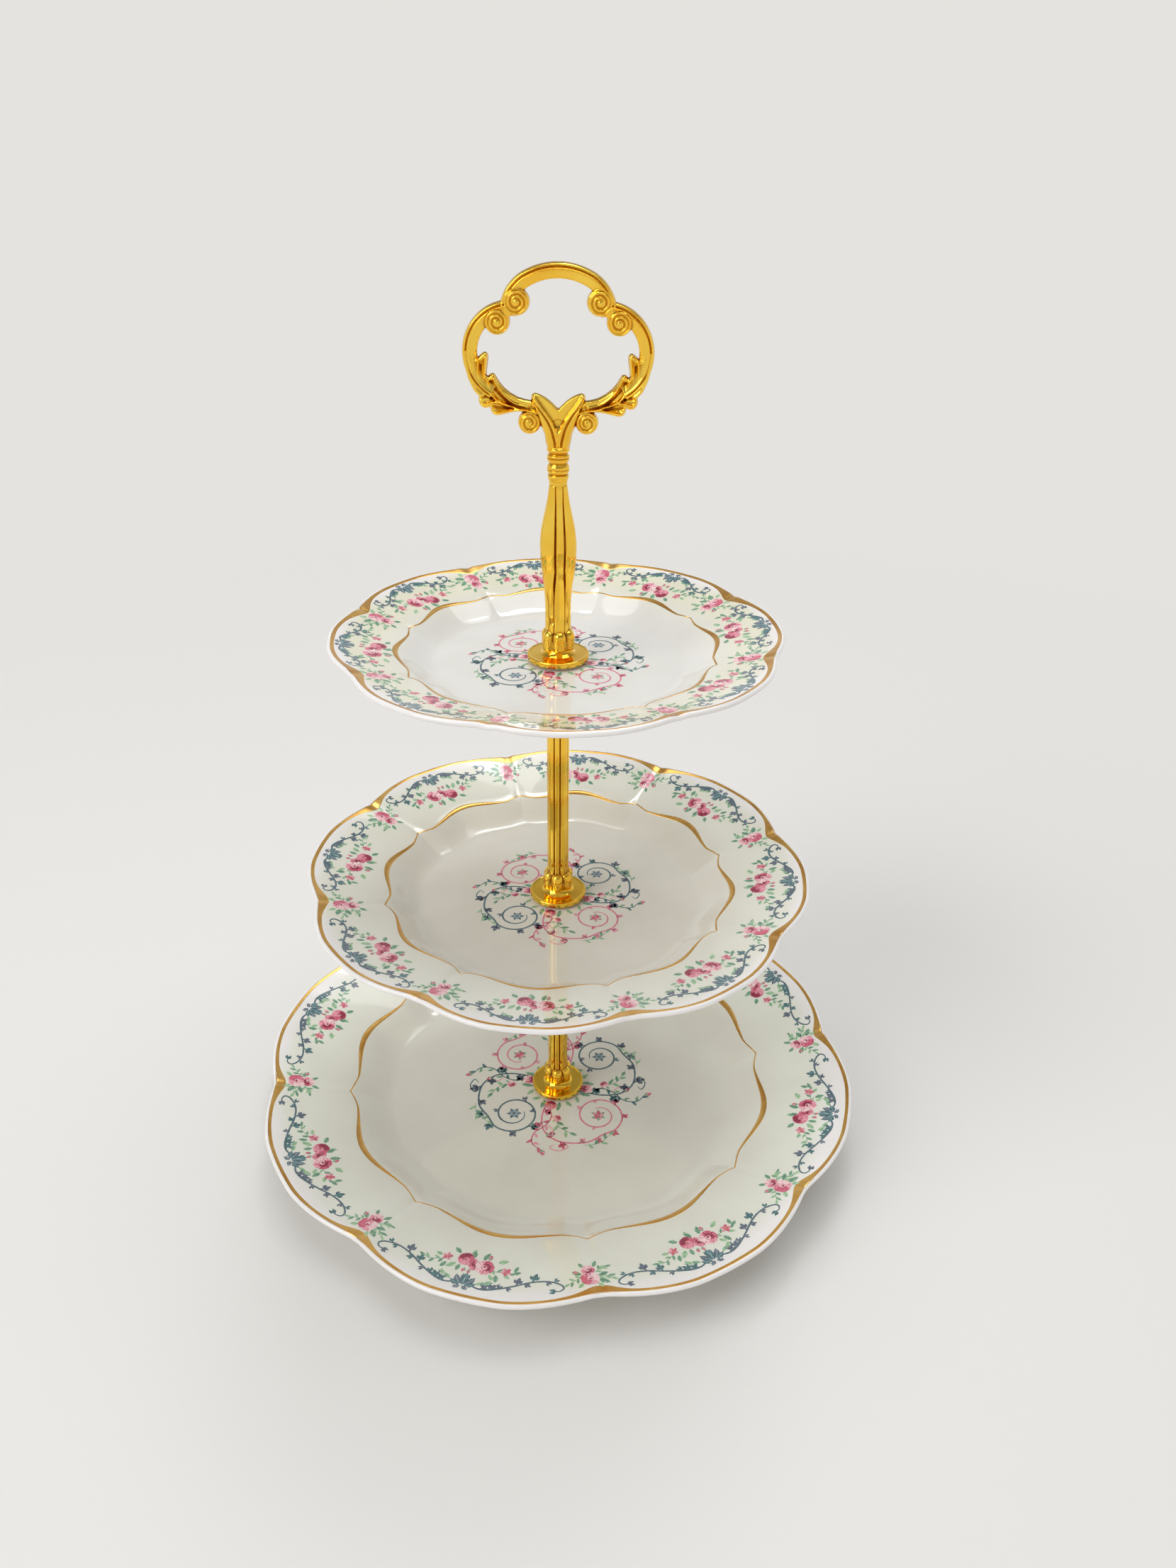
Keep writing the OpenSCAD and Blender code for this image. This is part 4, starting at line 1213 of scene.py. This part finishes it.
def build_stage():
    """A plain pale floor that runs evenly into a backdrop of its own colour."""
    material, tree, shader = new_material("studio_floor")
    fill(shader, {"Base Color": PALE, "Roughness": 0.7, "Specular IOR Level": 0.2})
    coords = add_node(tree, "TexCoord", {}).outputs["Object"]
    away = add_node(tree, "VectorMath", {0: coords}, operation="LENGTH").outputs["Value"]
    glow = add_node(tree, "Emission", {"Color": PALE})
    mix = add_node(tree, "MixShader", {"Fac": spread(tree, away, 0.0, 1.0, 0.3, 0.9), 1: shader.outputs[0],
                                       2: glow.outputs[0]})
    fill(tree.nodes["Material Output"], {"Surface": mix.outputs[0]})
    verts, faces = lathe([(r, 0) for r in FLOOR_RINGS], around(48), cad_lo.z)
    mesh = bpy.data.meshes.new("studio_floor")
    mesh.from_pydata(verts.tolist(), [], faces[:-2])        # the floor has no end faces
    mesh.materials.append(material)
    placed("studio_floor", mesh)

    scene.world = bpy.data.worlds.new("studio")
    scene.world.use_nodes = True
    tree = scene.world.node_tree
    sky = tree.nodes["Background"]
    coords = add_node(tree, "TexCoord", {}).outputs["Generated"]
    height = add_node(tree, "SeparateXYZ", {0: coords}).outputs["Z"]
    fill(sky, {"Color": ramp(tree, height, [(0.0, PALE), (0.15, (0.78, 0.78, 0.79)), (0.4, (0.58, 0.58, 0.6)),
                                            (0.65, (0.3, 0.3, 0.31)), (1.0, (0.24, 0.24, 0.24))])})
    backdrop = add_node(tree, "Background", {"Color": PALE})
    eye = add_node(tree, "LightPath", {}).outputs["Is Camera Ray"]
    mix = add_node(tree, "MixShader", {"Fac": eye, 1: sky.outputs[0], 2: backdrop.outputs[0]})
    fill(tree.nodes["World Output"], {"Surface": mix.outputs[0]})


def area_light(name, place, size, power, colour=(1, 1, 1)):
    """A rectangular light that faces the stand's middle; places and sizes in metres."""
    data = bpy.data.lights.new(name, "AREA")
    data.shape = "RECTANGLE"
    data.size, data.size_y = size
    data.energy, data.color = power, colour
    lamp = placed(name, data)
    lamp.location = place
    lamp.rotation_euler = (Vector((0, 0, 0.15)) - Vector(place)).to_track_quat("-Z", "Y").to_euler()


def build_camera():
    """The camera's place and turn, worked out from the rims' and flanges' ellipses."""
    yaw, tilt, roll = -0.377, 29.37, 0.858      # degrees; tilt is down from level
    turn = Matrix.Identity(4)
    for degrees, axis in ((yaw, "Z"), (90 - tilt, "X"), (roll, "Z")):
        turn = turn @ Matrix.Rotation(radians(degrees), 4, axis)
    data = bpy.data.cameras.new("camera")
    data.sensor_fit, data.sensor_width = "AUTO", 36
    data.lens, data.clip_start = 26.895, 0.01
    camera = placed("camera", data)
    camera.matrix_world = Matrix.Translation((0.00879, -0.38616, 0.3781)) @ turn
    scene.camera = camera


build_stage()
area_light("overhead", (0.3, 0.3, 2.6), (2.4, 2.4), 32)
area_light("key", (-1.7, -1.2, 1.9), (1.6, 1.6), 30)
area_light("window", (0.25, 1.15, 2.35), (0.7, 0.45), 6, (0.92, 0.96, 1))
build_camera()
scene.view_settings.view_transform = "Standard"
